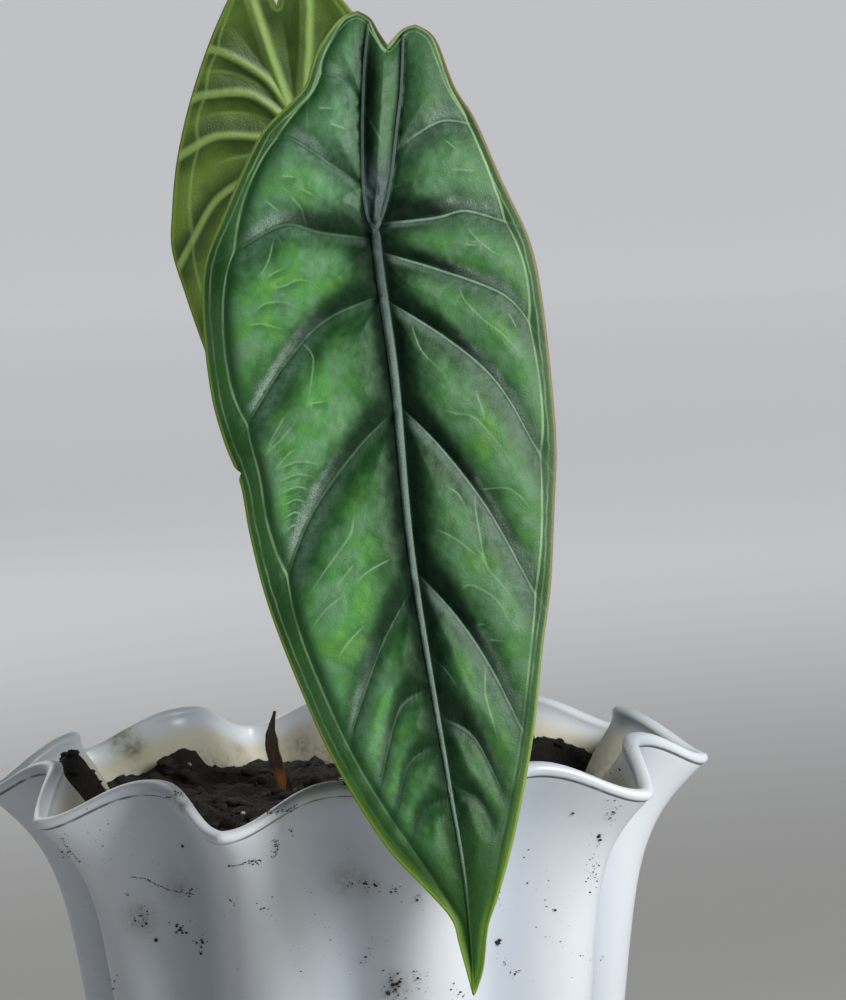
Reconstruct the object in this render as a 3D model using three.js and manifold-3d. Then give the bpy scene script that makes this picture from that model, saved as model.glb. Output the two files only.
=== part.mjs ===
import * as THREE from 'three';
import { mergeVertices } from 'three/addons/utils/BufferGeometryUtils.js';
import Module from 'manifold-3d';

// A potted alocasia with two hanging, shield-shaped leaves, in a pleated pot with a ruffled rim.
// Millimetres, +Z up, origin at the centre of the pot's flat base, -Y towards the front leaf.

const wasm = await Module();
wasm.setup();

// Pot: pleats run from the base to the rim, where they open into lobes
const LOBES = 10;
const STEPS_PER_LOBE = 10;
const TROUGH_ANGLE = -0.023;
const RIM_HEIGHT = 128;
const RIM_RADIUS = 76.3;
const RIM_DROP = 6.1;
const RUFFLE_RISE = 3.8;
const RUFFLE_FLAT = 0.6;
const WALL_TAPER = 0.13;
const FLARE_WIDTH = 12.9;
const FLARE_DEPTH = 10;
const FLARE_POWER = 1.2;
const PLEAT_AT_BASE = 3;
const PLEAT_AT_RIM = 12.1;
const PLEAT_FADE = 50;
const VALLEY_AT_RIM = 0.62;
const VALLEY_GAIN = 0.7;
const VALLEY_FADE = 20;
const WALL = 2.6;
const LIP_PROUD = 0.4;
const LIP_HEIGHT = 3.2;
const LIP_STEP = 0.3;
const LIP_ROUND = 0.8;
const LIP_TOP = [0.5, 2.3];
const FLOOR = 3;
const FOOT_CHAMFER = 1.5;
const DRAIN_HOLES = 6;
const DRAIN_RADIUS = 4.5;
const DRAIN_RING = 30;
const DRAIN_SIDES = 16;

// Depths below the rim at which the wall gets a row of points
const OUTER_DEPTHS = [92, 62, 42, 29, 20, 13, 8, 5];
const INNER_DEPTHS = [5, 9, 14, 20, 32, 62, 95];

// Gap between neighbouring pieces, how far a cut runs past a face, and the distance at which points are one
const GAP = 0.35;
const OVERCUT = 1;
const SAME_POINT = 1e-3;

// Soil: a level with lumps, ripples and mounds, each mound a place, a height and a reach
const SOIL_LEVEL = 115.5;
const MOUNDS = [
  { x: -59, y: 3, height: 13, reach: 8 },
  { x: -47, y: 38, height: 3, reach: 8 },
  { x: -35, y: 47, height: 7, reach: 7 },
  { x: -6, y: 56, height: 2, reach: 12 },
  { x: 44, y: 40, height: 6, reach: 11 },
  { x: 12, y: 4, height: 1.5, reach: 22 },
];
const LUMP_HEIGHT = 0.7;
const LUMP_LENGTH = 4.5;
const LUMP_SHIFT = 1;
const RIPPLE_LENGTH = 3;
const SOIL_SHRINKAGE = 0.7;
const SOIL_RINGS = [0.92, 0.78, 0.6, 0.4, 0.24];
const EDGE_PASSES = 6;
const ABOVE_SOIL = 140;
const SOIL_HOLE_SIDES = 20;

// Rhizome: the short stem in the soil that both leaf stalks grow from, as radii and heights
const RHIZOME = { x: 13, y: 3, bottom: 84, sides: 18 };
const RHIZOME_PROFILE = [
  [0, 84],
  [5, 84],
  [7.6, 89],
  [8, 97],
  [7.2, 99],
  [8.2, 103],
  [8, 109],
  [7.3, 111],
  [8, 115],
  [7.6, 121],
  [0, 121],
];

// Blades: how the leaf tissue is thickened and quilted between its sunken veins
const BLADE = 0.9;
const MIDRIB_RIDGE = 1.5;
const MIDRIB_REACH = 1.8;
const MIDRIB_FADE = 190;
const MIDRIB_END = 6;
const VEIN_RIDGE = 0.5;
const VEIN_REACH = 1.2;
const QUILT = 1.7;
const QUILT_REACH = 4.2;
const MARGIN_REACH = 5;
const CAMBER = 2.6;
const HALF_WIDTH = 33;
const BOW = 3.5;
const BOW_SPAN = 170;
const LOBE_FALL = 2.5;
const LOBE_LENGTH = 40;
const VEIN_STEPS = 8;
const MARGIN_STEPS = 60;

// Rows of the blade's mesh: a share of the margin, from the tip, and the share of the midline it starts from.
// The rows fan out from the junction as the side veins do.
const ROW_FAN = [
  [0, 0],
  [0.07, 0.1],
  [0.16, 0.27],
  [0.23, 0.42],
  [0.36, 0.59],
  [0.49, 0.69],
  [0.61, 0.74],
  [0.73, 0.77],
  [0.84, 0.81],
  [0.96, 0.95],
];
const SINUS_ROWS = 3;
const COLUMNS = [0, 0.06, 0.15, 0.27, 0.4, 0.53, 0.66, 0.79, 0.91, 1];

// Front leaf, as [across, along] from the junction of stalk and blade, seen on its upper side.
// Its outline runs from the drip tip to the top of each lobe, and on down into the sinus between them.
const FRONT_LEAF = {
  junction: [11, -60, 239],
  tip: [22.4, -88, 92],
  facing: -1,
  rows: 38,
  midline: [[0, 150], [1.1, 128], [0.4, 108], [-1.1, 65], [0, 30], [0, 0], [3.1, -16], [7, -36.5]],
  left: {
    margin: [
      [0, 150], [-1.4, 140], [-2.4, 134.5], [-7, 127.7], [-13.2, 119], [-20.7, 102.6], [-25.8, 86.4],
      [-29.8, 70], [-31.6, 56], [-32.2, 46], [-34.4, 37], [-35.7, 27], [-35.5, 12], [-33.8, 2],
      [-29.2, -6.5], [-24.4, -14.7], [-19.2, -22.4], [-13, -27.4], [-9.8, -30.5], [-7.4, -35.8],
      [-4.6, -39.8], [-1.2, -43.2], [2, -44.2],
    ],
    sinus: [[7, -36.5], [5.6, -39.4], [4.3, -42.4], [2, -44.2]],
  },
  right: {
    margin: [
      [0, 150], [2.4, 145], [4.4, 137], [7, 131.5], [11, 122], [14.5, 112], [18.2, 99.8], [21.8, 84.7],
      [24.8, 73.3], [27.5, 58], [29.4, 46.4], [30.2, 32], [30.4, 16], [29.4, 5.2], [25.4, -7.5],
      [22, -19.4], [18.8, -26.7], [16.4, -36.7], [13, -40],
    ],
    sinus: [[7, -36.5], [9.2, -38.6], [11, -39.7], [13, -40]],
  },
  costae: [
    [[0, 0], [0.6, -16], [0.8, -26], [2.5, -33.6], [3.8, -41]],
    [[0, 0], [3.4, -11.5], [6, -19.2], [8.4, -27], [10.3, -38]],
  ],
  laterals: [
    [[6, -15], [10.2, -17.8], [15.8, -20], [21, -18.8]],
    [[0, -1], [11.7, -0.9], [18, -1.6], [25, 1.2]],
    [[0, 4.5], [11.9, 9.7], [23.5, 16], [28.3, 23.5]],
    [[0, 14], [12, 24], [20, 33.4], [25.3, 46]],
    [[0, 35], [7.4, 44.7], [15, 58], [21.3, 74]],
    [[-1, 67.5], [5.9, 77.3], [11.2, 87.8], [15.6, 100.3]],
    [[0.2, 96.5], [6.3, 101], [10.7, 113]],
    [[0.6, 109.5], [5.5, 112.8], [7.6, 117]],
    [[0.7, -24], [-1.4, -29], [-4.1, -31.6], [-7, -32.5]],
    [[0, -7.5], [-7.4, -14.4], [-13.8, -20], [-18, -20.5]],
    [[0, 2], [-10.3, -0.7], [-17.5, -3.4], [-26, -0.4]],
    [[0, 13], [-12.2, 16.7], [-21.4, 24.6], [-29, 34]],
    [[0, 35.5], [-8.7, 42.3], [-19, 53.5], [-25.4, 65]],
    [[-1.4, 70.5], [-8.3, 80], [-15, 92.7], [-17.4, 99]],
    [[0, 90.5], [-7.1, 93.7], [-12.3, 106.5]],
    [[0.3, 101], [-6.5, 104.2], [-9.7, 111.5]],
    [[0.8, 111.4], [-5.4, 113.8], [-7.3, 117]],
  ],
};

// Back leaf: smaller, hanging away behind the pot, so that its ribbed underside is seen from the front
const BACK_MARGIN = [
  [0, 129], [1.2, 123.5], [3, 118], [8, 110], [14.5, 98], [20, 84], [24.6, 66], [28.6, 46], [31, 32],
  [32.4, 21], [31, 12], [28.7, 2], [25.6, -7.2], [21.9, -16], [17.5, -25], [13.8, -31.5], [10.4, -36.6],
  [6.5, -39.5],
];
const BACK_LATERALS = [
  [[1.6, -8], [6, -16], [14, -23], [18, -24.5]],
  [[0.6, -3], [9.2, -12.2], [18.8, -14], [23, -13.5]],
  [[0, 1], [10, -2.5], [19, -4], [26, -1.5]],
  [[0, 5], [11, 6.5], [21, 11], [28, 20]],
  [[0, 14], [10, 20], [20, 30], [26, 41]],
  [[0, 31], [9, 39], [17, 50], [23, 62]],
  [[0, 52], [8, 61], [15, 73], [18.5, 83]],
  [[0, 74], [6, 82], [11, 92], [13, 99]],
  [[0, 94], [4, 101], [7, 109]],
];
const mirrored = (points) => points.map(([across, along]) => [-across, along]);
const BACK_LEAF = {
  junction: [-3.4, 86, 255.8],
  tip: [7.5, 118, 131],
  facing: 1,
  rows: 30,
  midline: [[0, 129], [0.6, 100], [-0.6, 55], [0, 0], [0.5, -16], [1, -32.4]],
  left: { margin: mirrored(BACK_MARGIN), sinus: [[1, -32.4], [-0.4, -35.8], [-3, -38.6], [-6.5, -39.5]] },
  right: { margin: BACK_MARGIN, sinus: [[1, -32.4], [2.2, -35.8], [4, -38.6], [6.5, -39.5]] },
  costae: [
    [[0, 0], [2, -10], [4.4, -22], [6.6, -35]],
    [[0, 0], [-2, -10], [-4.4, -22], [-6.2, -35]],
  ],
  laterals: [...BACK_LATERALS, ...BACK_LATERALS.map(mirrored)],
};

// Stalks, from the rhizome to the underside of each blade, with their radii from base to top
const STALK_SIDES = 12;
const STALK_RINGS = 20;
const STALK_RADII = [4.1, 3.5, 3, 2.7, 2.5, 2.3, 2.2];
const STALK_CLEARANCE = 0.5;
const FRONT_STALK = [[13.2, -1.4, 121.4], [13.6, -3.4, 150], [13.4, -14, 190], [12.4, -34, 224]];
const BACK_STALK = [[12.8, 7.4, 121.4], [12, 12, 150], [8, 33, 196], [1.6, 60, 238]];
const STALK_BEND = 6;
const STALK_SAG = 2;

// Dried bract: a twisted brown remnant of a young leaf's sheath, narrow at its waist and tip
const BRACT = { x: -14.9, y: 25.6, bottom: 110, top: 133, width: 1.7, thickness: 0.5, twist: 1.5, sway: 0.9 };
const BRACT_PINCH = 0.3;
const BRACT_TIP = 0.8;
const BRACT_TIP_POWER = 8;
const BRACT_RINGS = 12;
const BRACT_SIDES = 10;
const BRACT_HOLE_SIDES = 12;

// Drops triangles that have collapsed and turns the faces of a closed mesh outward
function closedMesh(positions, indices) {
  const raw = new THREE.BufferGeometry();
  raw.setAttribute('position', new THREE.Float32BufferAttribute(positions, 3));
  raw.setIndex(indices);
  const geometry = mergeVertices(raw, SAME_POINT);
  const index = Array.from(geometry.index.array);
  const corner = (i) => new THREE.Vector3().fromBufferAttribute(geometry.attributes.position, i);
  const faces = [];
  let volume = 0;
  for (let k = 0; k < index.length; k += 3) {
    const [a, b, c] = index.slice(k, k + 3);
    if (a === b || b === c || a === c) continue;
    faces.push([a, b, c]);
    volume += corner(a).dot(corner(b).cross(corner(c)));
  }
  geometry.setIndex(faces.flatMap(([a, b, c]) => (volume > 0 ? [a, b, c] : [a, c, b])));
  return geometry;
}

// Joins rings of points, each with the same count, into a body closed by a fan at either end
function loft(rings) {
  const sides = rings[0].length;
  const positions = rings.flat().flatMap((p) => p.toArray());
  const indices = [];
  for (let r = 0; r + 1 < rings.length; r += 1) {
    for (let k = 0; k < sides; k += 1) {
      const a = r * sides + k;
      const b = r * sides + ((k + 1) % sides);
      indices.push(a, b, b + sides, a, b + sides, a + sides);
    }
  }
  for (const [row, turn] of [[0, -1], [rings.length - 1, 1]]) {
    const centre = rings[row].reduce((sum, p) => sum.add(p), new THREE.Vector3()).divideScalar(sides);
    const hub = positions.length / 3;
    positions.push(...centre.toArray());
    for (let k = 0; k < sides; k += 1) {
      const a = row * sides + k;
      const b = row * sides + ((k + 1) % sides);
      indices.push(...(turn > 0 ? [a, b, hub] : [b, a, hub]));
    }
  }
  return closedMesh(positions, indices);
}

function toSolid(geometry) {
  const bare = geometry.clone();
  bare.deleteAttribute('normal');
  bare.deleteAttribute('uv');
  const merged = mergeVertices(bare, SAME_POINT);
  return new wasm.Manifold(new wasm.Mesh({
    numProp: 3,
    vertProperties: Float32Array.from(merged.attributes.position.array),
    triVerts: Uint32Array.from(merged.index.array),
  }));
}

function toGeometry(solid) {
  const mesh = solid.getMesh();
  const geometry = new THREE.BufferGeometry();
  geometry.setAttribute('position', new THREE.Float32BufferAttribute(mesh.vertProperties, 3));
  geometry.setIndex(Array.from(mesh.triVerts));
  return geometry;
}

function upright(radius, bottom, top, x, y, sides) {
  const geometry = new THREE.CylinderGeometry(radius, radius, top - bottom, sides);
  geometry.rotateX(Math.PI / 2);
  geometry.translate(x, y, (top + bottom) / 2);
  return toSolid(geometry);
}

// How much the rim stands up or droops at an angle, fading to nothing at the base
function ruffle(angle, depth) {
  const phase = LOBES * (angle - TROUGH_ANGLE);
  return (RUFFLE_RISE * Math.cos(phase) - RUFFLE_FLAT * Math.cos(2 * phase)) * (1 - depth / RIM_HEIGHT) ** 3;
}

// A point of the pot's wall: at an angle, a depth below the rim, and an inset from the outer face
function wallPoint(angle, depth, inset) {
  const phase = LOBES * (angle - TROUGH_ANGLE);
  const lobeAngle = TROUGH_ANGLE + Math.PI / LOBES;
  const below = Math.max(0, depth - ruffle(lobeAngle, depth) - RIM_DROP);
  const flare = FLARE_WIDTH * (1 - Math.exp(-((below / FLARE_DEPTH) ** FLARE_POWER)));
  const crest = RIM_RADIUS - WALL_TAPER * below - flare;
  const pleat = PLEAT_AT_BASE + (PLEAT_AT_RIM - PLEAT_AT_BASE) * Math.exp(-depth / PLEAT_FADE);
  const valley = VALLEY_AT_RIM + VALLEY_GAIN * (1 - Math.exp(-depth / VALLEY_FADE));
  const radius = crest - pleat * ((1 + Math.cos(phase)) / 2) ** valley - inset;
  const height = RIM_HEIGHT - depth + ruffle(angle, depth);
  return new THREE.Vector3(radius * Math.sin(angle), -radius * Math.cos(angle), height);
}

const ANGLES = Array.from(
  { length: LOBES * STEPS_PER_LOBE },
  (_, k) => TROUGH_ANGLE + (2 * Math.PI * k) / (LOBES * STEPS_PER_LOBE),
);
const wallRing = ([depth, inset]) => ANGLES.map((angle) => wallPoint(angle, depth, inset));

function makePot() {
  const rows = [
    [RIM_HEIGHT, FOOT_CHAMFER],
    [RIM_HEIGHT - FOOT_CHAMFER, 0],
    ...OUTER_DEPTHS.map((depth) => [depth, 0]),
    [LIP_HEIGHT + LIP_STEP, 0],
    [LIP_HEIGHT, -LIP_PROUD],
    [LIP_ROUND, -LIP_PROUD],
    ...LIP_TOP.map((inset) => [0, inset]),
    [LIP_ROUND, WALL + LIP_PROUD],
    ...INNER_DEPTHS.map((depth) => [depth, WALL]),
    [RIM_HEIGHT - FLOOR, WALL],
  ];
  let pot = toSolid(loft(rows.map(wallRing)));
  for (let k = 0; k < DRAIN_HOLES; k += 1) {
    const angle = (2 * Math.PI * k) / DRAIN_HOLES;
    const place = [DRAIN_RING * Math.cos(angle), DRAIN_RING * Math.sin(angle)];
    pot = pot.subtract(upright(DRAIN_RADIUS, -OVERCUT, FLOOR + OVERCUT, ...place, DRAIN_SIDES));
  }
  return toGeometry(pot);
}

function soilHeight(x, y) {
  const lump = Math.sin(x / LUMP_LENGTH + LUMP_SHIFT) * Math.cos(y / LUMP_LENGTH);
  const ripple = Math.sin((x + y) / RIPPLE_LENGTH);
  return MOUNDS.reduce(
    (height, m) => height + m.height * Math.exp(-((x - m.x) ** 2 + (y - m.y) ** 2) / m.reach ** 2),
    SOIL_LEVEL + LUMP_HEIGHT * (lump + ripple),
  );
}

// Depth below the rim at which the soil meets the wall, found by closing in on the soil's height there
function soilEdgeDepth(angle) {
  let depth = RIM_HEIGHT - SOIL_LEVEL;
  for (let pass = 0; pass < EDGE_PASSES; pass += 1) {
    const at = wallPoint(angle, depth, WALL);
    depth = RIM_HEIGHT + ruffle(angle, depth) - soilHeight(at.x, at.y);
  }
  return depth;
}

function makeSoil() {
  const inset = WALL + GAP;
  const edge = ANGLES.map(soilEdgeDepth);
  const depths = [RIM_HEIGHT - FLOOR - GAP, ...INNER_DEPTHS.toReversed()];
  const wall = depths.map((depth) => ANGLES.map((angle, k) => (
    depth > edge[k] ? wallPoint(angle, depth, inset) : wallPoint(angle, edge[k], inset + SOIL_SHRINKAGE)
  )));
  const rim = ANGLES.map((angle, k) => wallPoint(angle, edge[k], inset + SOIL_SHRINKAGE));
  const top = SOIL_RINGS.map((share) => rim.map((p) => {
    const at = p.clone().multiplyScalar(share);
    at.z = soilHeight(at.x, at.y);
    return at;
  }));
  const soil = toSolid(loft([...wall, rim, ...top]));
  const hole = ({ x, y, bottom }, radius, sides) => upright(radius, bottom - GAP, ABOVE_SOIL, x, y, sides);
  const widest = Math.max(...RHIZOME_PROFILE.map(([radius]) => radius));
  const rhizomeHole = hole(RHIZOME, widest + GAP, SOIL_HOLE_SIDES);
  const bractHole = hole(BRACT, BRACT.width + BRACT.sway, BRACT_HOLE_SIDES);
  return toGeometry(soil.subtract(rhizomeHole).subtract(bractHole));
}

function makeRhizome() {
  const profile = RHIZOME_PROFILE.map(([radius, height]) => new THREE.Vector2(radius, height));
  const geometry = new THREE.LatheGeometry(profile, RHIZOME.sides);
  geometry.rotateX(Math.PI / 2);
  geometry.translate(RHIZOME.x, RHIZOME.y, 0);
  geometry.deleteAttribute('normal');
  geometry.deleteAttribute('uv');
  return closedMesh(Array.from(geometry.attributes.position.array), Array.from(geometry.index.array));
}

// Distance from a point to a chain of straight stretches
function distanceTo(chain, p) {
  let nearest = Infinity;
  for (let k = 0; k + 1 < chain.length; k += 1) {
    const a = chain[k];
    const along = chain[k + 1].clone().sub(a);
    const share = THREE.MathUtils.clamp(p.clone().sub(a).dot(along) / along.lengthSq(), 0, 1);
    nearest = Math.min(nearest, p.distanceTo(a.clone().addScaledVector(along, share)));
  }
  return nearest;
}

const vectors = (points) => points.map(([across, along]) => new THREE.Vector2(across, along));
const spline = (points) => new THREE.SplineCurve(vectors(points));

function interpolate(table, share) {
  const k = Math.max(1, table.findIndex(([at]) => at >= share));
  const [a, valueA] = table[k - 1];
  const [b, valueB] = table[k];
  return valueA + ((valueB - valueA) * (share - a)) / (b - a);
}

// The leaf's own frame: right across the blade, along it to the tip, and up from its upper side
function leafFrame(leaf) {
  const junction = new THREE.Vector3(...leaf.junction);
  const along = new THREE.Vector3(...leaf.tip).sub(junction).normalize();
  const up = new THREE.Vector3(0, leaf.facing, 0);
  up.addScaledVector(along, -up.dot(along)).normalize();
  return { junction, along, up, right: up.clone().cross(along) };
}

function shapeOf(leaf) {
  const veinCurve = (points) => spline(points).getPoints(VEIN_STEPS);
  return {
    frame: leafFrame(leaf),
    midline: veinCurve(leaf.midline),
    veins: [...leaf.costae, ...leaf.laterals].map(veinCurve),
    edges: [leaf.left, leaf.right].flatMap((side) => [
      spline(side.margin).getPoints(MARGIN_STEPS),
      veinCurve(side.sinus),
    ]),
  };
}

// Heights of the upper and lower faces above the leaf's flat frame, at a place on the blade
function faceHeights(shape, p) {
  const midrib = distanceTo(shape.midline, p);
  const vein = Math.min(...shape.veins.map((chain) => distanceTo(chain, p)));
  const edge = Math.min(...shape.edges.map((chain) => distanceTo(chain, p)));
  const open = p.y > 0 ? Math.min(midrib, vein) : vein;
  const inside = 1 - Math.exp(-((edge / MARGIN_REACH) ** 2));
  const quilt = QUILT * (1 - Math.exp(-((open / QUILT_REACH) ** 2))) * inside;
  const end = p.y > 0 ? BOW * Math.sin((Math.PI * p.y) / BOW_SPAN) : -LOBE_FALL * (p.y / LOBE_LENGTH) ** 2;
  const upper = quilt + end - CAMBER * (p.x / HALF_WIDTH) ** 2;
  const strength = p.y > 0 ? 1 - p.y / MIDRIB_FADE : Math.exp(-((p.y / MIDRIB_END) ** 2));
  const rib = MIDRIB_RIDGE * strength * Math.exp(-((midrib / MIDRIB_REACH) ** 2));
  const ridge = Math.max(rib, VEIN_RIDGE * Math.exp(-((vein / VEIN_REACH) ** 2))) * inside;
  return { upper, lower: upper - BLADE - ridge };
}

// Both faces share one grid of rows and columns, so they never cross where the blade waves
function makeBlade(leaf) {
  const shape = shapeOf(leaf);
  const { junction, along, up, right } = shape.frame;
  const midline = spline(leaf.midline);
  const [lastMargin, lastMidline] = ROW_FAN.at(-1);
  const halves = [leaf.left, leaf.right].map((side) => {
    const margin = spline(side.margin);
    const sinus = spline(side.sinus);
    const rows = [];
    for (let k = 0; k <= leaf.rows + SINUS_ROWS; k += 1) {
      const past = Math.max(0, k - leaf.rows) / SINUS_ROWS;
      const share = k <= leaf.rows ? (lastMargin * k) / leaf.rows : lastMargin + (1 - lastMargin) * past;
      const inner = k <= leaf.rows
        ? midline.getPointAt(Math.min(1, interpolate(ROW_FAN, share) / lastMidline))
        : sinus.getPointAt(past);
      const outer = margin.getPointAt(Math.min(1, share));
      rows.push(COLUMNS.map((column) => inner.clone().lerp(outer, column)));
    }
    return rows;
  });
  const positions = [];
  const add = (p, height) => {
    const flat = junction.clone().addScaledVector(right, p.x).addScaledVector(along, p.y);
    positions.push(...flat.addScaledVector(up, height).toArray());
    return positions.length / 3 - 1;
  };
  const indices = [];
  const quad = (a, b, c, d) => indices.push(a, b, c, a, c, d);
  halves.forEach((rows, half) => {
    const grid = rows.map((row) => row.map((p) => {
      const { upper, lower } = faceHeights(shape, p);
      return [add(p, upper), add(p, lower)];
    }));
    const turned = half === 0;
    const place = (k, c, face) => grid[k][c][face];
    for (let k = 0; k + 1 < grid.length; k += 1) {
      for (let c = 0; c + 1 < COLUMNS.length; c += 1) {
        const around = [[k, c], [k, c + 1], [k + 1, c + 1], [k + 1, c]];
        const corners = (face) => around.map(([row, column]) => place(row, column, face));
        quad(...(turned ? corners(0) : corners(0).reverse()));
        quad(...(turned ? corners(1).reverse() : corners(1)));
      }
      const last = COLUMNS.length - 1;
      const wall = [place(k, last, 0), place(k, last, 1), place(k + 1, last, 1), place(k + 1, last, 0)];
      quad(...(turned ? wall : wall.reverse()));
      if (k >= leaf.rows) {
        const inner = [place(k, 0, 0), place(k + 1, 0, 0), place(k + 1, 0, 1), place(k, 0, 1)];
        quad(...(turned ? inner : inner.reverse()));
      }
    }
  });
  return closedMesh(positions, indices);
}

// A tapering stalk that rises straight out of the rhizome and turns in to meet the blade face on
function makeStalk(leaf, route) {
  const shape = shapeOf(leaf);
  const { junction, up } = shape.frame;
  const { lower } = faceHeights(shape, new THREE.Vector2(0, 0));
  const end = junction.clone().addScaledVector(up, lower - STALK_CLEARANCE);
  const approach = end.clone().addScaledVector(up, -STALK_BEND);
  approach.z -= STALK_SAG;
  const places = [...route.map((p) => new THREE.Vector3(...p)), approach, end];
  const path = new THREE.CatmullRomCurve3(places, false, 'centripetal');
  const radii = new THREE.SplineCurve(STALK_RADII.map((radius, k) => new THREE.Vector2(k, radius)));
  const rings = [];
  for (let k = 0; k <= STALK_RINGS; k += 1) {
    const share = k / STALK_RINGS;
    const centre = path.getPointAt(share);
    const heading = path.getTangentAt(share);
    if (k === 0) heading.set(0, 0, 1);
    if (k === STALK_RINGS) heading.copy(up);
    const side = new THREE.Vector3(1, 0, 0).addScaledVector(heading, -heading.x).normalize();
    const other = heading.clone().cross(side);
    const radius = radii.getPoint(share).y;
    rings.push(Array.from({ length: STALK_SIDES }, (_, n) => {
      const angle = (2 * Math.PI * n) / STALK_SIDES;
      return centre.clone()
        .addScaledVector(side, radius * Math.cos(angle))
        .addScaledVector(other, radius * Math.sin(angle));
    }));
  }
  return loft(rings);
}

function makeBract() {
  const rings = [];
  for (let k = 0; k <= BRACT_RINGS; k += 1) {
    const share = k / BRACT_RINGS;
    const waist = 1 - BRACT_PINCH * (1 + Math.cos(4 * Math.PI * share));
    const width = BRACT.width * waist * (1 - BRACT_TIP * share ** BRACT_TIP_POWER);
    const turn = BRACT.twist * share;
    const sway = BRACT.sway * Math.sin(2 * Math.PI * share);
    const height = BRACT.bottom + (BRACT.top - BRACT.bottom) * share;
    rings.push(Array.from({ length: BRACT_SIDES }, (_, n) => {
      const angle = (2 * Math.PI * n) / BRACT_SIDES;
      const across = width * Math.cos(angle);
      const through = BRACT.thickness * Math.sin(angle);
      return new THREE.Vector3(
        BRACT.x + sway + across * Math.cos(turn) - through * Math.sin(turn),
        BRACT.y + across * Math.sin(turn) + through * Math.cos(turn),
        height,
      );
    }));
  }
  return loft(rings);
}

const FINISH = {
  pot: { color: 0xe6ebef, roughness: 0.35, metalness: 0 },
  soil: { color: 0x1f1712, roughness: 0.95, metalness: 0 },
  rhizome: { color: 0x5a4a35, roughness: 0.8, metalness: 0 },
  upperLeaf: { color: 0x2f6b33, roughness: 0.4, metalness: 0 },
  underLeaf: { color: 0x6a8f3c, roughness: 0.5, metalness: 0 },
  stalk: { color: 0x6f8a4a, roughness: 0.5, metalness: 0 },
  bract: { color: 0x7a4a22, roughness: 0.8, metalness: 0 },
};

const PIECES = [
  ['pot', makePot(), FINISH.pot],
  ['soil', makeSoil(), FINISH.soil],
  ['rhizome', makeRhizome(), FINISH.rhizome],
  ['leaf_front_blade', makeBlade(FRONT_LEAF), FINISH.upperLeaf],
  ['leaf_front_stalk', makeStalk(FRONT_LEAF, FRONT_STALK), FINISH.stalk],
  ['leaf_back_blade', makeBlade(BACK_LEAF), FINISH.underLeaf],
  ['leaf_back_stalk', makeStalk(BACK_LEAF, BACK_STALK), FINISH.stalk],
  ['dried_bract', makeBract(), FINISH.bract],
];

const plant = new THREE.Group();
for (const [name, geometry, finish] of PIECES) {
  const mesh = new THREE.Mesh(geometry, new THREE.MeshStandardMaterial(finish));
  mesh.name = name;
  plant.add(mesh);
}

export default plant;
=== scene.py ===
"""The looks of a potted alocasia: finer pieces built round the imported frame.

Dimensions are in millimetres, as in the part's own source, and places become metres where a mesh is made.
"""
import math

import bmesh
import bpy
import numpy as np
from mathutils import Matrix, Vector, noise


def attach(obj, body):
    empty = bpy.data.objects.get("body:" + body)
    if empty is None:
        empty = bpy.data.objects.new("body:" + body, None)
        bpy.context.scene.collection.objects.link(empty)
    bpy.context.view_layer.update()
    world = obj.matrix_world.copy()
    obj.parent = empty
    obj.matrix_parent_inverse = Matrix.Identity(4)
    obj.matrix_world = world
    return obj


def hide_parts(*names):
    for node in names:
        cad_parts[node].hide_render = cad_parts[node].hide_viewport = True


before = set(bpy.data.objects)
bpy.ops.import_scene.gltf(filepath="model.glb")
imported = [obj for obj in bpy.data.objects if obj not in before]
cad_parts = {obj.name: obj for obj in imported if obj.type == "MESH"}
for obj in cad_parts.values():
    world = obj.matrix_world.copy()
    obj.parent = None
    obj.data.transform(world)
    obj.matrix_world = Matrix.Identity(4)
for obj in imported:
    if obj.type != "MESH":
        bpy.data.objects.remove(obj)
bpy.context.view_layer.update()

MM = 0.001
SAME_POINT = 1e-3
TINY = 1e-9

# Pot: pleats run from the base to the rim, where they open into lobes
LOBES = 10
TROUGH_ANGLE = -0.023
RIM_HEIGHT = 128
RIM_RADIUS = 76.3
RIM_DROP = 6.1
RUFFLE_RISE = 3.8
RUFFLE_FLAT = 0.6
WALL_TAPER = 0.13
FLARE_WIDTH = 12.9
FLARE_DEPTH = 10
FLARE_POWER = 1.2
PLEAT_AT_BASE = 3
PLEAT_AT_RIM = 12.1
PLEAT_FADE = 50
VALLEY_AT_RIM = 0.62
VALLEY_GAIN = 0.7
VALLEY_FADE = 20
WALL = 2.6
LIP_PROUD = 0.45
LIP_HEIGHT = 2.7
LIP_ROUND = 1.3
LIP_MIDDLE = 1.3
LIP_HALF = 1.75
FLOOR = 3
FOOT_CHAMFER = 1.5
DRAIN_HOLES = 6
DRAIN_RADIUS = 4.5
DRAIN_RING = 30
DRAIN_SIDES = 48
POT_ANGLES = 560
LIP_POINTS = 13
OUTER_ROWS = 75
OUTER_CROWDING = 1.3
INNER_ROWS = 41
INNER_CROWDING = 1.6
DISC_SHARES = [0, 0.3, 0.6, 0.85]

# Rows of the pot's wall, each a depth below the rim and an inset: foot, crease under the lip, throat
FOOT_ROWS = [(RIM_HEIGHT, FOOT_CHAMFER), (RIM_HEIGHT - 0.3, 0.75), (RIM_HEIGHT - 0.8, 0.25)]
LIP_END = LIP_HEIGHT + 0.6
CREASE_ROWS = [
    (LIP_END, 0), (LIP_HEIGHT + 0.3, 0.02), (LIP_HEIGHT + 0.1, 0.12), (LIP_HEIGHT, -0.1),
    (LIP_HEIGHT - 0.15, -0.36), (LIP_HEIGHT - 0.4, -LIP_PROUD), (LIP_ROUND + 0.3, -LIP_PROUD),
]
THROAT_ROWS = [(2.4, 3), (3.2, 2.8), (4, 2.62)]

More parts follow.
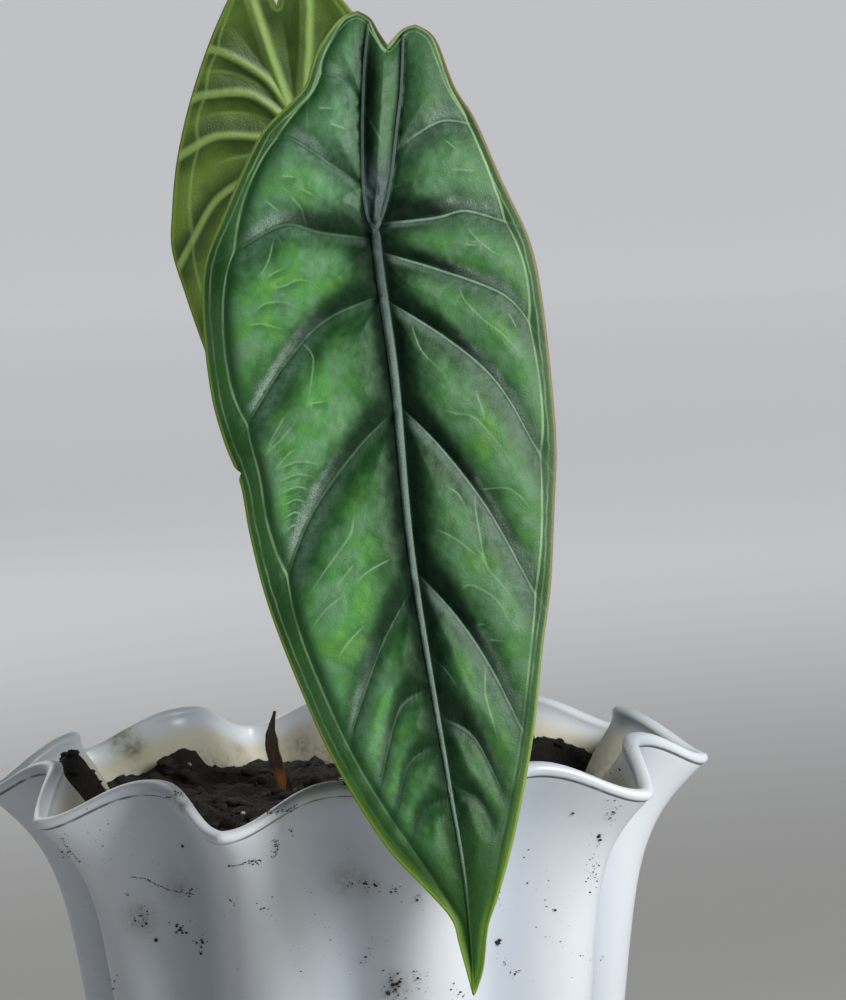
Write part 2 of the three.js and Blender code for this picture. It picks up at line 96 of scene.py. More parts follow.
# Soil: a level with lumps, ripples and mounds, each mound a place, a height and a reach
SOIL_LEVEL = 115.5
MOUNDS = [
    (-59, 3, 13, 8),
    (-47, 38, 3, 8),
    (-35, 47, 7, 7),
    (-6, 56, 2, 12),
    (44, 40, 6, 11),
    (12, 4, 1.5, 22),
]
LUMP_HEIGHT = 0.7
LUMP_LENGTH = 4.5
LUMP_SHIFT = 1
RIPPLE_LENGTH = 3
BED_ROUGHNESS = 1.1
CLOD_LENGTH = 6
CRUMB_LENGTH = 2
BED_DROP = 0.4
EDGE_PASSES = 6
SOIL_ANGLES = 320
SOIL_RINGS = 90
SKIRT_RINGS = 24
SKIRT_TOP = 2
SOIL_GAP = 0.12

# Loose grains: how many, their least and greatest size, the seed of their places and how flat they lie
CRUMBS = {"count": 950, "sizes": (0.5, 2.4), "seed": 7, "squash": 0.7}
PERLITE_BITS = {"count": 46, "sizes": (0.4, 1.1), "seed": 5, "squash": 0.9}
STEM_CLEARANCE = 9.5
WALL_CLEARANCE = 2
GRAIN_LIFT = 0.25
GRAIN_LEVEL = 2
GRAIN_ROUGHNESS = 0.56
GRAIN_BUMPS = 1.4

# Rhizome: the short stem in the soil that both leaf stalks grow from, with a scar at each of its two waists
RHIZOME_PLACE = (13, 3)
RHIZOME_PROFILE = [
    (5, 84), (7.6, 89), (8, 97), (7.2, 99), (8.2, 103), (8, 109), (7.3, 111), (8, 115), (7.6, 121),
]
SCARS = [(84, 0), (97, 0), (99, 1), (101, 0), (109, 0), (111, 1), (113, 0), (121, 0)]
TOP_SCAR = 0.6
RHIZOME_RINGS = 90
RHIZOME_SIDES = 72
BARK_LUMPS = 0.35
BARK_LENGTH = 3
TOP_RISE = 0.2

# Blades
BLADE = 0.9
BLADE_EDGE = 0.55
MIDRIB_RIDGE = 1.5
MIDRIB_REACH = 1.8
MIDRIB_FADE = 190
MIDRIB_END = 6
VEIN_RIDGE = 0.5
VEIN_REACH = 1.2
QUILT = 1.7
QUILT_REACH = 4.2
MARGIN_REACH = 5
CAMBER = 2.6
HALF_WIDTH = 33
BOW = 3.5
BOW_SPAN = 170
LOBE_FALL = 2.5
LOBE_LENGTH = 40

# Finer relief of the blades: a raised midrib, grooves at the side veins and a vein inside the margin
CORD_WIDTH = 0.98
CORD_RISE = 0.9
COSTA_WIDTH = 0.5
COSTA_RISE = 0.35
HUB_RISE = 0.8
HUB_REACH = 1.3
TUBE_RISE = 0.7
UNDER_CORD = 0.3
UNDER_REACH = 0.8
FINE_GROOVE = 0.2
FINE_REACH = 0.8
FINE_FAR = 3
FINE_START = (-0.08, 0.2)
FINE_END = (0.55, 1.04)
PEBBLE = 0.26
GROOVE_DEPTH = 0.45
GROOVE_REACH = 0.9
COLLECTIVE_INSET = 3.6
COLLECTIVE_SCALLOP = 1.5
COLLECTIVE_GROOVE = 0.3
COLLECTIVE_REACH = 0.7
END_GAP = 12
END_SLOPES = (-1, 2.2)
LEAST_GAP = 1.5

# Rows of the blade's mesh: a share of the margin, from the tip, and the share of the midline it starts from
ROW_FAN = [
    (0, 0), (0.07, 0.1), (0.16, 0.27), (0.23, 0.42), (0.36, 0.59),
    (0.49, 0.69), (0.61, 0.74), (0.73, 0.77), (0.84, 0.81), (0.96, 0.95),
]
SINUS_ROWS = 14

# Short level veins, one below another, in a bulge of the front leaf
LADDER_RUNGS = 6
LADDER = [
    [(-24.2, 44.4 + 2.4 * k), (-20.4 - 0.5 * k, 43.6 + 2.4 * k), (-16.6 - 1.1 * k, 44.7 + 2.4 * k)]
    for k in range(LADDER_RUNGS)
]

# Front leaf, as [across, along] from the junction of stalk and blade, seen on its upper side.
# Its outline runs from the drip tip to the top of each lobe, and on down into the sinus between them.
# The side veins run out from the midrib, with fine veins between them. The band is how wide the margin is.
FRONT_LEAF = {
    "junction": (11, -60, 239),
    "tip": (22.4, -88, 92),
    "facing": -1,
    "rows": 300,
    "columns": 64,
    "midline": [(0, 150), (1.1, 128), (0.4, 108), (-1.1, 65), (0, 30), (0, 0), (3.1, -16), (7, -36.5)],
    "left": {
        "margin": [
            (0, 150), (-1.4, 140), (-2.4, 134.5), (-7, 127.7), (-13.2, 119), (-20.7, 102.6), (-25.8, 86.4),
            (-29.8, 70), (-31.6, 56), (-32.2, 46), (-34.4, 37), (-35.7, 27), (-35.5, 12), (-33.8, 2),
            (-29.2, -6.5), (-24.4, -14.7), (-19.2, -22.4), (-13, -27.4), (-9.8, -30.5), (-7.4, -35.8),
            (-4.6, -39.8), (-1.2, -43.2), (2, -44.2),
        ],
        "sinus": [(7, -36.5), (5.6, -39.4), (4.3, -42.4), (2, -44.2)],
        "laterals": [
            [(0.7, -24), (-1.4, -29), (-4.1, -31.6), (-7, -32.5)],
            [(0, -7.5), (-7.4, -14.4), (-13.8, -20), (-18, -20.5)],
            [(0, 2), (-10.3, -0.7), (-17.5, -3.4), (-26, -0.4)],
            [(0, 13), (-12.2, 16.7), (-21.4, 24.6), (-29, 34)],
            [(0, 35.5), (-8.7, 42.3), (-19, 53.5), (-25.4, 65)],
            [(-1.4, 70.5), (-8.3, 80), (-15, 92.7), (-17.4, 99)],
            [(0, 90.5), (-7.1, 93.7), (-12.3, 106.5)],
            [(0.3, 101), (-6.5, 104.2), (-9.7, 111.5)],
            [(0.8, 111.4), (-5.4, 113.8), (-7.3, 117)],
        ],
        "band": 1,
        "nicks": [(43.9, 0.9, 0.7)],
        "fine": [
            [(-6, -32.1), (-9.5, -28), (-10.4, -24.9), (-10.9, -19.7)],
            [(-8, -25.4), (-4.9, -24.8)], [(-6.1, -21.9), (-2.9, -20.3)], [(-16.7, -12.7), (-13.6, -12.1)],
            [(-13.5, -9.9), (-10.8, -7.8)], [(-20.4, -8.2), (-18.2, -5.9)],
            [(-15.7, -8.6), (-14, -6.2), (-13.5, -3.7), (-13.3, -2.1)],
            [(-20, -0.8), (-21.2, 2.8), (-22.5, 5.1), (-23.7, 6.5)], [(-21.9, 6.5), (-18, 5.2)],
            [(-21, 9), (-19, 8.9), (-16.2, 8.1), (-13, 9.1)],
            [(-25, 12.9), (-23.3, 11.9), (-21, 11.8), (-19.1, 12.3), (-16.3, 14)],
            [(-26.6, 15.7), (-24.4, 15.7), (-22.2, 16.6), (-20.7, 17.2)],
            [(-17.1, 20.2), (-15.3, 23.2), (-15.8, 27.1), (-17.6, 33.6)], [(-17.3, 32.7), (-13.4, 32.6)],
            [(-22, 34.2), (-24.2, 37.3), (-26.5, 40.6)],
            [(-20.3, 36), (-23.2, 38.8), (-26, 40.8), (-27.4, 42.6)],
            [(-20.7, 41.1), (-22.9, 42.4), (-26, 45.4)],
            *LADDER,
            [(-11.4, 55.9), (-12, 58.6), (-14.3, 61.4), (-19.7, 67.2), (-21.9, 70.2)],
            [(-12.2, 64.8), (-13.7, 66.2), (-16.7, 69.1)],
            [(-14.9, 70.4), (-18.7, 72.8), (-20.7, 74.7), (-22.5, 77)],
            [(-5.4, 64.9), (-8.9, 66.2), (-11.4, 67.7), (-12.1, 68.8)],
            [(-12.4, 77.3), (-15.5, 79.9), (-17.8, 82.5)],
        ],
    },
    "right": {
        "margin": [
            (0, 150), (2.4, 145), (4.4, 137), (7, 131.5), (11, 122), (14.5, 112), (18.2, 99.8), (21.8, 84.7),
            (24.8, 73.3), (27.5, 58), (29.4, 46.4), (30.2, 32), (30.4, 16), (29.4, 5.2), (25.4, -7.5),
            (22, -19.4), (18.8, -26.7), (16.4, -36.7), (13, -40),
        ],
        "sinus": [(7, -36.5), (9.2, -38.6), (11, -39.7), (13, -40)],
        "laterals": [
            [(6, -15), (10.2, -17.8), (15.8, -20), (21, -18.8)],
            [(0, -1), (11.7, -0.9), (18, -1.6), (25, 1.2)],
            [(0, 4.5), (11.9, 9.7), (23.5, 16), (28.3, 23.5)],
            [(0, 14), (12, 24), (20, 33.4), (25.3, 46)],
            [(0, 35), (7.4, 44.7), (15, 58), (21.3, 74)],
            [(-1, 67.5), (5.9, 77.3), (11.2, 87.8), (15.6, 100.3)],
            [(0.2, 96.5), (6.3, 101), (10.7, 113)],
            [(0.6, 109.5), (5.5, 112.8), (7.6, 117)],
        ],
        "band": 0.6,
        "fine": [
            [(15.8, -15.9), (17.9, -13.6)], [(16.8, -9.8), (21.1, -9.1)], [(22.3, -3.1), (21.9, -1.6)],
            [(18, 2.1), (19.5, 4.5), (22.3, 7.4), (24.5, 8.7)], [(16.8, 5.3), (19.7, 5.7)],
            [(15, 13.8), (15.4, 16.1), (18.6, 20.5), (21.6, 23.4), (23.8, 26.3), (25.4, 28.7)],
            [(23.8, 19.9), (25, 23.1)], [(4.6, 19.7), (5.8, 25), (9.2, 29.6)],
            [(15.4, 34.7), (15.9, 37.1), (16.4, 40.2)],
            [(9, 37.4), (11.2, 38.3), (13.7, 39), (16.2, 41.7), (19.9, 47.9), (22.7, 53.8)],
            [(13.2, 53.3), (15.5, 53.5), (18.6, 53.8), (20.4, 54.9), (22.3, 57.3), (23.2, 59)],
            [(12.6, 54.5), (12.3, 57), (12.5, 62.7), (12.8, 67.8), (14.4, 70.8), (16.5, 74), (18.4, 78)],
            [(4.4, 60.3), (6.8, 61.8), (9.4, 64.1), (11, 65.8), (12.7, 67.4)],
            [(7.8, 72.1), (9.6, 71.7), (12.8, 73.9), (15, 76.7), (16.7, 81.9)],
            [(8.2, 52.7), (9.5, 54.1), (10.5, 56.9)],
            [(9.8, 79.4), (11.5, 79.6)], [(11.7, 82.6), (14.5, 83.3)],
            [(10.3, 87.7), (9.6, 92.9), (10.3, 98.2), (11, 103)], [(0.3, 84.8), (2.7, 87.5), (4.5, 91.2)],
        ],
    },
    "costae": [
        [(0, 0), (-1.1, -2.4), (-1.4, -6.5), (-1, -12), (0.2, -22), (2.1, -33.7), (3.8, -41)],
        [(0, 0), (1.6, -2.4), (3.3, -6.5), (4.8, -11.5), (6.6, -19.2), (8.5, -27), (10.3, -38)],
    ],
}

# Back leaf: smaller, hanging away behind the pot, so that its ribbed underside is seen from the front
BACK_MARGIN = [
    (0, 129), (1.2, 123.5), (3, 118), (8, 110), (14.5, 98), (20, 84), (24.6, 66), (28.6, 46), (31, 32),
    (32.4, 21), (31, 12), (28.7, 2), (25.6, -7.2), (21.9, -16), (17.5, -25), (13.8, -31.5), (10.4, -36.6),
    (6.5, -39.5),
]
BACK_LATERALS = [
    [(1.6, -8), (6, -16), (14, -23), (18, -24.5)],
    [(0.6, -3), (9.2, -12.2), (18.8, -14), (23, -13.5)],
    [(0, 1), (10, -2.5), (19, -4), (26, -1.5)],
    [(0, 5), (11, 6.5), (21, 11), (28, 20)],
    [(0, 14), (10, 20), (20, 30), (26, 41)],
    [(0, 31), (9, 39), (17, 50), (23, 62)],
    [(0, 52), (8, 61), (15, 73), (18.5, 83)],
    [(0, 74), (6, 82), (11, 92), (13, 99)],
    [(0, 94), (4, 101), (7, 109)],
]


def mirrored(points):
    return [(-across, along) for across, along in points]


BACK_LEAF = {
    "junction": (-3.4, 86, 255.8),
    "tip": (7.5, 118, 131),
    "facing": 1,
    "rows": 230,
    "columns": 52,
    "midline": [(0, 129), (0.6, 100), (-0.6, 55), (0, 0), (0.5, -16), (1, -32.4)],
    "left": {
        "margin": mirrored(BACK_MARGIN),
        "sinus": [(1, -32.4), (-0.4, -35.8), (-3, -38.6), (-6.5, -39.5)],
        "laterals": [mirrored(lateral) for lateral in BACK_LATERALS],
    },
    "right": {
        "margin": BACK_MARGIN,
        "sinus": [(1, -32.4), (2.2, -35.8), (4, -38.6), (6.5, -39.5)],
        "laterals": BACK_LATERALS,
    },
    "costae": [
        [(0, 0), (2, -10), (4.4, -22), (6.6, -35)],
        [(0, 0), (-2, -10), (-4.4, -22), (-6.2, -35)],
    ],
}

# Stalks, from the rhizome to the underside of each blade, with their radii from base to top
STALK_RADII = [4.1, 3.5, 3, 2.7, 2.5, 2.3, 2.2]
STALK_CLEARANCE = 0.5
FRONT_STALK = [(13.2, -1.4, 121.4), (13.6, -3.4, 150), (13.4, -14, 190), (12.4, -34, 224)]
BACK_STALK = [(12.8, 7.4, 121.4), (12, 12, 150), (8, 33, 196), (1.6, 60, 238)]
STALK_BEND = 6
STALK_SAG = 2
STALK_RINGS = 140
STALK_SIDES = 36
STALK_STEPS = 40
STALK_SINK = 0.3
STALK_FLARES = [1.2, 1.1]
FLARE_SHARE = 0.02
STALK_RIBS = 0.02
STALK_CHANNEL = 0.05

# Dried bract
BRACT = {"x": -14.9, "y": 25.6, "bottom": 110, "top": 133}
BRACT_WIDTH = 1.7
BRACT_THICKNESS = 0.5
BRACT_TWIST = 1.5
BRACT_SWAY = 0.9
BRACT_FORM = [
    (0, 0.4), (0.22, 0.45), (0.36, 0.8), (0.5, 1.1), (0.62, 1.35), (0.76, 1.4), (0.88, 0.9), (1, 0.16),
]
BRACT_RAGGED = 0.2
TEAR_LENGTH = 2.4
TEAR_SPAN = 24
TEAR_APART = 5
BRACT_CURL = 0.35
BRACT_FLUTES = 9
FLUTE_DEPTH = 0.08
BRACT_WAVE = 0.5
BRACT_RINGS = 80
BRACT_SIDES = 40

# The photograph's size in pixels, and the camera that took it: its place in millimetres and its turns
PHOTO_WIDTH = 846
PHOTO_HEIGHT = 1000
FOCAL_PIXELS = 4292.5
CAMERA_PLACE = (0, -900, 264.7)
CAMERA_PITCH = math.radians(-5.383)
CAMERA_YAW = math.radians(1.211)
CAMERA_ROLL = math.radians(2.721)
SENSOR = 36
NEAREST = 0.02


# Curves and grids of points

def spline(points, steps=8):
    """A chain of places along a smooth curve through the points, with `steps` between each two of them."""
    points = np.asarray(points, float)
    padded = np.vstack([points[:1], points, points[-1:]])
    fine = np.linspace(0, len(points) - 1, steps * (len(points) - 1) + 1)
    k = np.minimum(fine.astype(int), len(points) - 2)
    w = (fine - k)[:, None]
    a, b, c, d = (padded[k + n] for n in range(4))
    return 0.5 * (2 * b + (c - a) * w + (2 * a - 5 * b + 4 * c - d) * w**2 + (3 * b - a - 3 * c + d) * w**3)


def along_chain(chain, shares):
    """Places at the given shares of a chain's length."""
    reach = np.concatenate([[0], np.cumsum(np.linalg.norm(np.diff(chain, axis=0), axis=1))])
    at = np.asarray(shares) * reach[-1]
    return np.stack([np.interp(at, reach, column) for column in chain.T], axis=-1)


def distance_to(chain, places):
    """Distance from each place to a chain of straight stretches."""
    nearest = np.full(len(places), np.inf)
    for a, b in zip(chain[:-1], chain[1:]):
        run = b - a
        share = np.clip((places - a) @ run / max(run @ run, TINY), 0, 1)
        nearest = np.minimum(nearest, np.linalg.norm(places - a - share[:, None] * run, axis=1))
    return nearest


def smoothstep(low, high, value):
    x = np.clip((value - low) / (high - low), 0, 1)
    return x * x * (3 - 2 * x)


def bell(value, reach):
    return np.exp(-((value / reach) ** 2))


def fractal(places, length, octaves=4, seed=0):
    """Smooth noise from about -1 to 1 at places in millimetres, with features of about that length."""
    shift = Vector((17.3 * seed, -9.1 * seed, 5.7 * seed))
    flat = places.reshape(-1, 3) / length
    values = [noise.fractal(Vector(p) + shift, 1.0, 2.0, octaves) for p in flat]
    return np.array(values).reshape(places.shape[:-1])


def round_turns(count):
    """Angles round a circle, without the last that would close it."""
    return np.linspace(0, 2 * np.pi, count, endpoint=False)


def ring_frame(heading):
    """Two directions across a heading, the first of them level with X."""
    side = np.array([1.0, 0, 0]) - heading * heading[0]
    side /= np.linalg.norm(side)
    return side, np.cross(heading, side)


# Meshes: a piece is made of grids of places, each with values at its points that its material reads

class Sheets:
    """Grids of points that become one mesh: where they meet, their points are joined."""

    def __init__(self):
        self.places, self.triangles, self.values, self.materials = [], [], {}, []
        self.count = 0

    def grid(self, places, material=0, **values):
        """Adds rows of points, in millimetres, joined to their neighbours by pairs of triangles."""
        rows, columns = places.shape[:2]
        index = self.count + np.arange(rows * columns).reshape(rows, columns)
        a, b, c, d = index[:-1, :-1], index[:-1, 1:], index[1:, 1:], index[1:, :-1]
        triangles = np.concatenate([np.stack(three, -1).reshape(-1, 3) for three in ((a, b, c), (a, c, d))])
        spread = {key: np.broadcast_to(value, (rows, columns)).ravel() for key, value in values.items()}
        self._add(places.reshape(-1, 3), triangles, material, spread)

    def lump(self, places, triangles, **values):
        """Adds a closed body as it is."""
        spread = {key: np.full(len(places), value) for key, value in values.items()}
        self._add(places, triangles + self.count, 0, spread)

    def _add(self, places, triangles, material, values):
        for name in self.values | values:
            before = self.values.setdefault(name, [np.zeros(self.count)] if self.count else [])
            before.append(values.get(name, np.zeros(len(places))))
        self.places.append(places)
        self.triangles.append(triangles)
        self.materials.append(np.full(len(triangles), material))
        self.count += len(places)

    def piece(self, name, materials, turn_faces=True):
        """Makes the object, with coinciding points joined and collapsed triangles dropped."""
        places = np.concatenate(self.places)
        triangles = np.concatenate(self.triangles)
        material = np.concatenate(self.materials)
        keys = np.round(places / SAME_POINT).astype(np.int64) @ np.array([1, 2**20, 2**40])
        _, first, joined = np.unique(keys, return_index=True, return_inverse=True)
        corners = joined.reshape(-1)[triangles]
        kept = (np.diff(np.sort(corners, axis=1), axis=1) > 0).all(axis=1)
        mesh = bpy.data.meshes.new(name)
        mesh.from_pydata(places[first] * MM, [], corners[kept])
        mesh.polygons.foreach_set("material_index", material[kept].astype(np.int32))
        mesh.polygons.foreach_set("use_smooth", np.ones(kept.sum(), bool))
        for key, chunks in self.values.items():
            attribute = mesh.attributes.new(key, "FLOAT", "CORNER")
            at_corners = np.concatenate(chunks)[triangles[kept]].ravel()
            attribute.data.foreach_set("value", at_corners.astype(np.float32))
        for each in materials:
            mesh.materials.append(each)
        if turn_faces:
            shell = bmesh.new()
            shell.from_mesh(mesh)
            bmesh.ops.recalc_face_normals(shell, faces=shell.faces)
            shell.to_mesh(mesh)
            shell.free()
        mesh.update()
        piece = bpy.data.objects.new(name, mesh)
        bpy.context.scene.collection.objects.link(piece)
        return piece


def fit_out(piece, slot, *nodes):
    """Says which body a piece rides on and the nodes that it stands for, which it hides; its slot is not
    used.
    """
    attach(piece, "root")
    if nodes:
        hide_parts(*nodes)


def one_sheet(name, material, places, **values):
    """A piece made of one grid of places."""
    sheets = Sheets()
    sheets.grid(places, **values)
    return sheets.piece(name, [material])


def with_ends(values, last=1):
    """One value for each ring of a closed form: 0 at its first end, and the last given at the other."""
    return np.concatenate([[0], values, [last]])[:, None]


def closed_rings(places):
    """Rings of points, each closed on itself and the ends drawn to their middles."""
    closed = np.concatenate([places, places[:, :1]], axis=1)
    ends = [np.broadcast_to(ring.mean(axis=0), closed[:1].shape) for ring in (places[0], places[-1])]
    return np.concatenate([ends[0], closed, ends[1]])


# Materials: numbers inside a material, worked out by nodes

class Value:
    """A number or vector in a material that adds and multiplies as plain numbers do."""

    def __init__(self, tree, socket):
        self.tree, self.socket = tree, socket

    def _math(self, operation, *others):
        node = self.tree.nodes.new("ShaderNodeMath")
        node.operation = operation
        for socket, item in zip(node.inputs, (self, *others)):
            plug(self.tree, socket, item)
        return Value(self.tree, node.outputs[0])

    def __add__(self, other):
        return self._math("ADD", other)

    def __sub__(self, other):
        return self._math("SUBTRACT", other)

    def __rsub__(self, other):
        return (self * -1) + other

    def __mul__(self, other):
        return self._math("MULTIPLY", other)

    def __truediv__(self, other):
        return self._math("DIVIDE", other)

    __radd__, __rmul__ = __add__, __mul__

    def abs(self):
        return self._math("ABSOLUTE")

    def round(self):
        return self._math("ROUND")

    def rises(self, low, high):
        """0 below low, 1 above high and smooth between."""
        node = self.tree.nodes.new("ShaderNodeMapRange")
        node.interpolation_type = "SMOOTHSTEP"
        plug(self.tree, node.inputs["Value"], self)
        plug(self.tree, node.inputs["From Min"], low)
        plug(self.tree, node.inputs["From Max"], high)
        return Value(self.tree, node.outputs[0])

    def falls(self, low, high):
        return 1 - self.rises(low, high)


def plug(tree, socket, item):
    if isinstance(item, Value):
        tree.links.new(item.socket, socket)
    elif isinstance(item, tuple) and socket.type == "RGBA":
        socket.default_value = (*item, 1)
    else:
        socket.default_value = item


def tint(red, green, blue):
    """A colour given as it looks on a screen, 0 to 255, as the light that it reflects."""
    shares = [c / 255 for c in (red, green, blue)]
    return tuple(((c + 0.055) / 1.055) ** 2.4 if c > 0.04 else c / 12.92 for c in shares)


class Recipe:
    """A material under way: its tree, and short names for the nodes that it takes."""

    def __init__(self, name):
        self.material = bpy.data.materials.new(name)
        self.material.use_nodes = True
        self.tree = self.material.node_tree
        self.shader = self.tree.nodes["Principled BSDF"]

    def _node(self, kind, inputs, output, **settings):
        node = self.tree.nodes.new(kind)
        for key, value in settings.items():
            setattr(node, key, value)
        for key, item in inputs.items():
            plug(self.tree, node.inputs[key], item)
        return Value(self.tree, node.outputs[output])

    def attribute(self, name):
        return self._node("ShaderNodeAttribute", {}, "Fac", attribute_name=name)

    def place(self):
        """The place on the object, in millimetres."""
        spot = self._node("ShaderNodeTexCoord", {}, "Object")
        return self._node("ShaderNodeVectorMath", {0: spot, "Scale": 1 / MM}, "Vector", operation="SCALE")

    def vector(self, x, y, z=0):
        return self._node("ShaderNodeCombineXYZ", {0: x, 1: y, 2: z}, "Vector")

    def noise(self, vector, length, detail=3, rough=0.5, warp=0):
        """Noise from 0 to 1, with features of about that length."""
        inputs = {"Vector": vector, "Scale": 1 / length, "Detail": detail, "Roughness": rough}
        return self._node("ShaderNodeTexNoise", inputs | {"Distortion": warp}, 0)

    def cells(self, vector, length):
        """How far a place is from the middle of its cell, in cell widths."""
        return self._node("ShaderNodeTexVoronoi", {"Vector": vector, "Scale": 1 / length}, "Distance")

    def mix(self, share, colour, other):
        """The first colour where the share is 0 and the other where it is 1."""
        node = self.tree.nodes.new("ShaderNodeMix")
        node.data_type = "RGBA"
        plug(self.tree, node.inputs[0], share)
        plug(self.tree, node.inputs[6], colour)
        plug(self.tree, node.inputs[7], other)
        return Value(self.tree, node.outputs[2])

    def ground(self, share, colour, other):
        """Starts the surface's colour."""
        self.colour = self.mix(share, colour, other)

    def paint(self, share, colour):
        """Lays a colour over what is there, by a share from 0 to 1."""
        self.colour = self.mix(share, self.colour, colour)

    def finish(self, roughness, relief=None, depth=0, **constants):
        """Wires the shader. Relief is a height from 0 to 1, and depth its size in millimetres."""
        plug(self.tree, self.shader.inputs["Base Color"], self.colour)
        plug(self.tree, self.shader.inputs["Roughness"], roughness)
        if relief is not None:
            normal = self._node("ShaderNodeBump", {"Height": relief, "Distance": depth * MM}, "Normal")
            plug(self.tree, self.shader.inputs["Normal"], normal)
        for key, value in constants.items():
            self.shader.inputs[key.replace("_", " ")].default_value = value
        return self.material


# Leaf materials, which read the blade's values: distances to its veins and margin, and its tones

NIGHT_GREEN = tint(5, 24, 13)
DEEP_GREEN = tint(30, 74, 34)
FRESH_GREEN = tint(84, 150, 78)
LIME_GREEN = tint(104, 160, 66)
SILVER_GREEN = tint(112, 152, 118)
SHEEN_HAZE_GREEN = tint(96, 132, 110)
SILVER = tint(138, 164, 148)
PALE_VEIN = tint(158, 190, 142)
MIDRIB_GREY = tint(118, 140, 130)
FINE_VEIN = tint(130, 172, 124)
PLATE_GREY = tint(58, 74, 74)
BAND_GREEN = tint(34, 74, 28)
BAND_GREY = tint(56, 96, 58)
RIM_GREEN = tint(132, 154, 66)
RIM_RUSSET = tint(128, 100, 62)
TIP_GREEN = tint(84, 126, 28)
TIP_DEEP = tint(30, 70, 18)
OLIVE = tint(84, 112, 38)
OLIVE_DEEP = tint(44, 70, 22)
OLIVE_VEIN = tint(138, 168, 92)

LEAF_VALUES = (
    "rib_order", "rib_gap", "midrib", "edge", "across", "along", "collective", "fine_side", "fine_far",
    "fine_fade", "night", "silver", "haze", "fresh", "pale", "plate",
)


# Lengths of the leaf's noise, and the half widths over which its lines fade out, in millimetres
WANDER_LENGTH = 4
PATCH_LENGTH = 6
MOTTLE_LENGTH = 1.3
GRAIN_LENGTH = 0.34
WORN_LENGTH = 9
UNDER_WANDER_LENGTH = 6
UNDER_GRAIN_LENGTH = 0.5
FINE_LINE = (0.06, 0.24)
VEIN_LINE = (0.1, 0.32)
VEIN_SHADOW = (0.3, 0.8)
MARGIN_LINE = (0.06, 0.32)
SECOND_LINE = (0.05, 0.28)
SECOND_INSET = 1.35
RIM_LINE = (0.1, 0.5)
UNDER_FINE_LINE = (0.2, 0.6)
UNDER_VEIN_LINE = (0.3, 1.5)
UNDER_MIDRIB_LINE = (0.7, 2.2)
UNDER_MARGIN_LINE = (0.1, 0.6)
UNDER_RIM_LINE = (0.2, 0.9)

# How far along the front leaf, from its junction, its tones change towards the tip
TIP_ZONE = (108, 140)
VEINS_END = (88, 120)
WORN_END = (75, 110)
RUSSET_END = (60, 95)
TIP_TONE = (112, 132)
TIP_EDGE_TONE = (84, 128)
CORD_END = (120, 136)


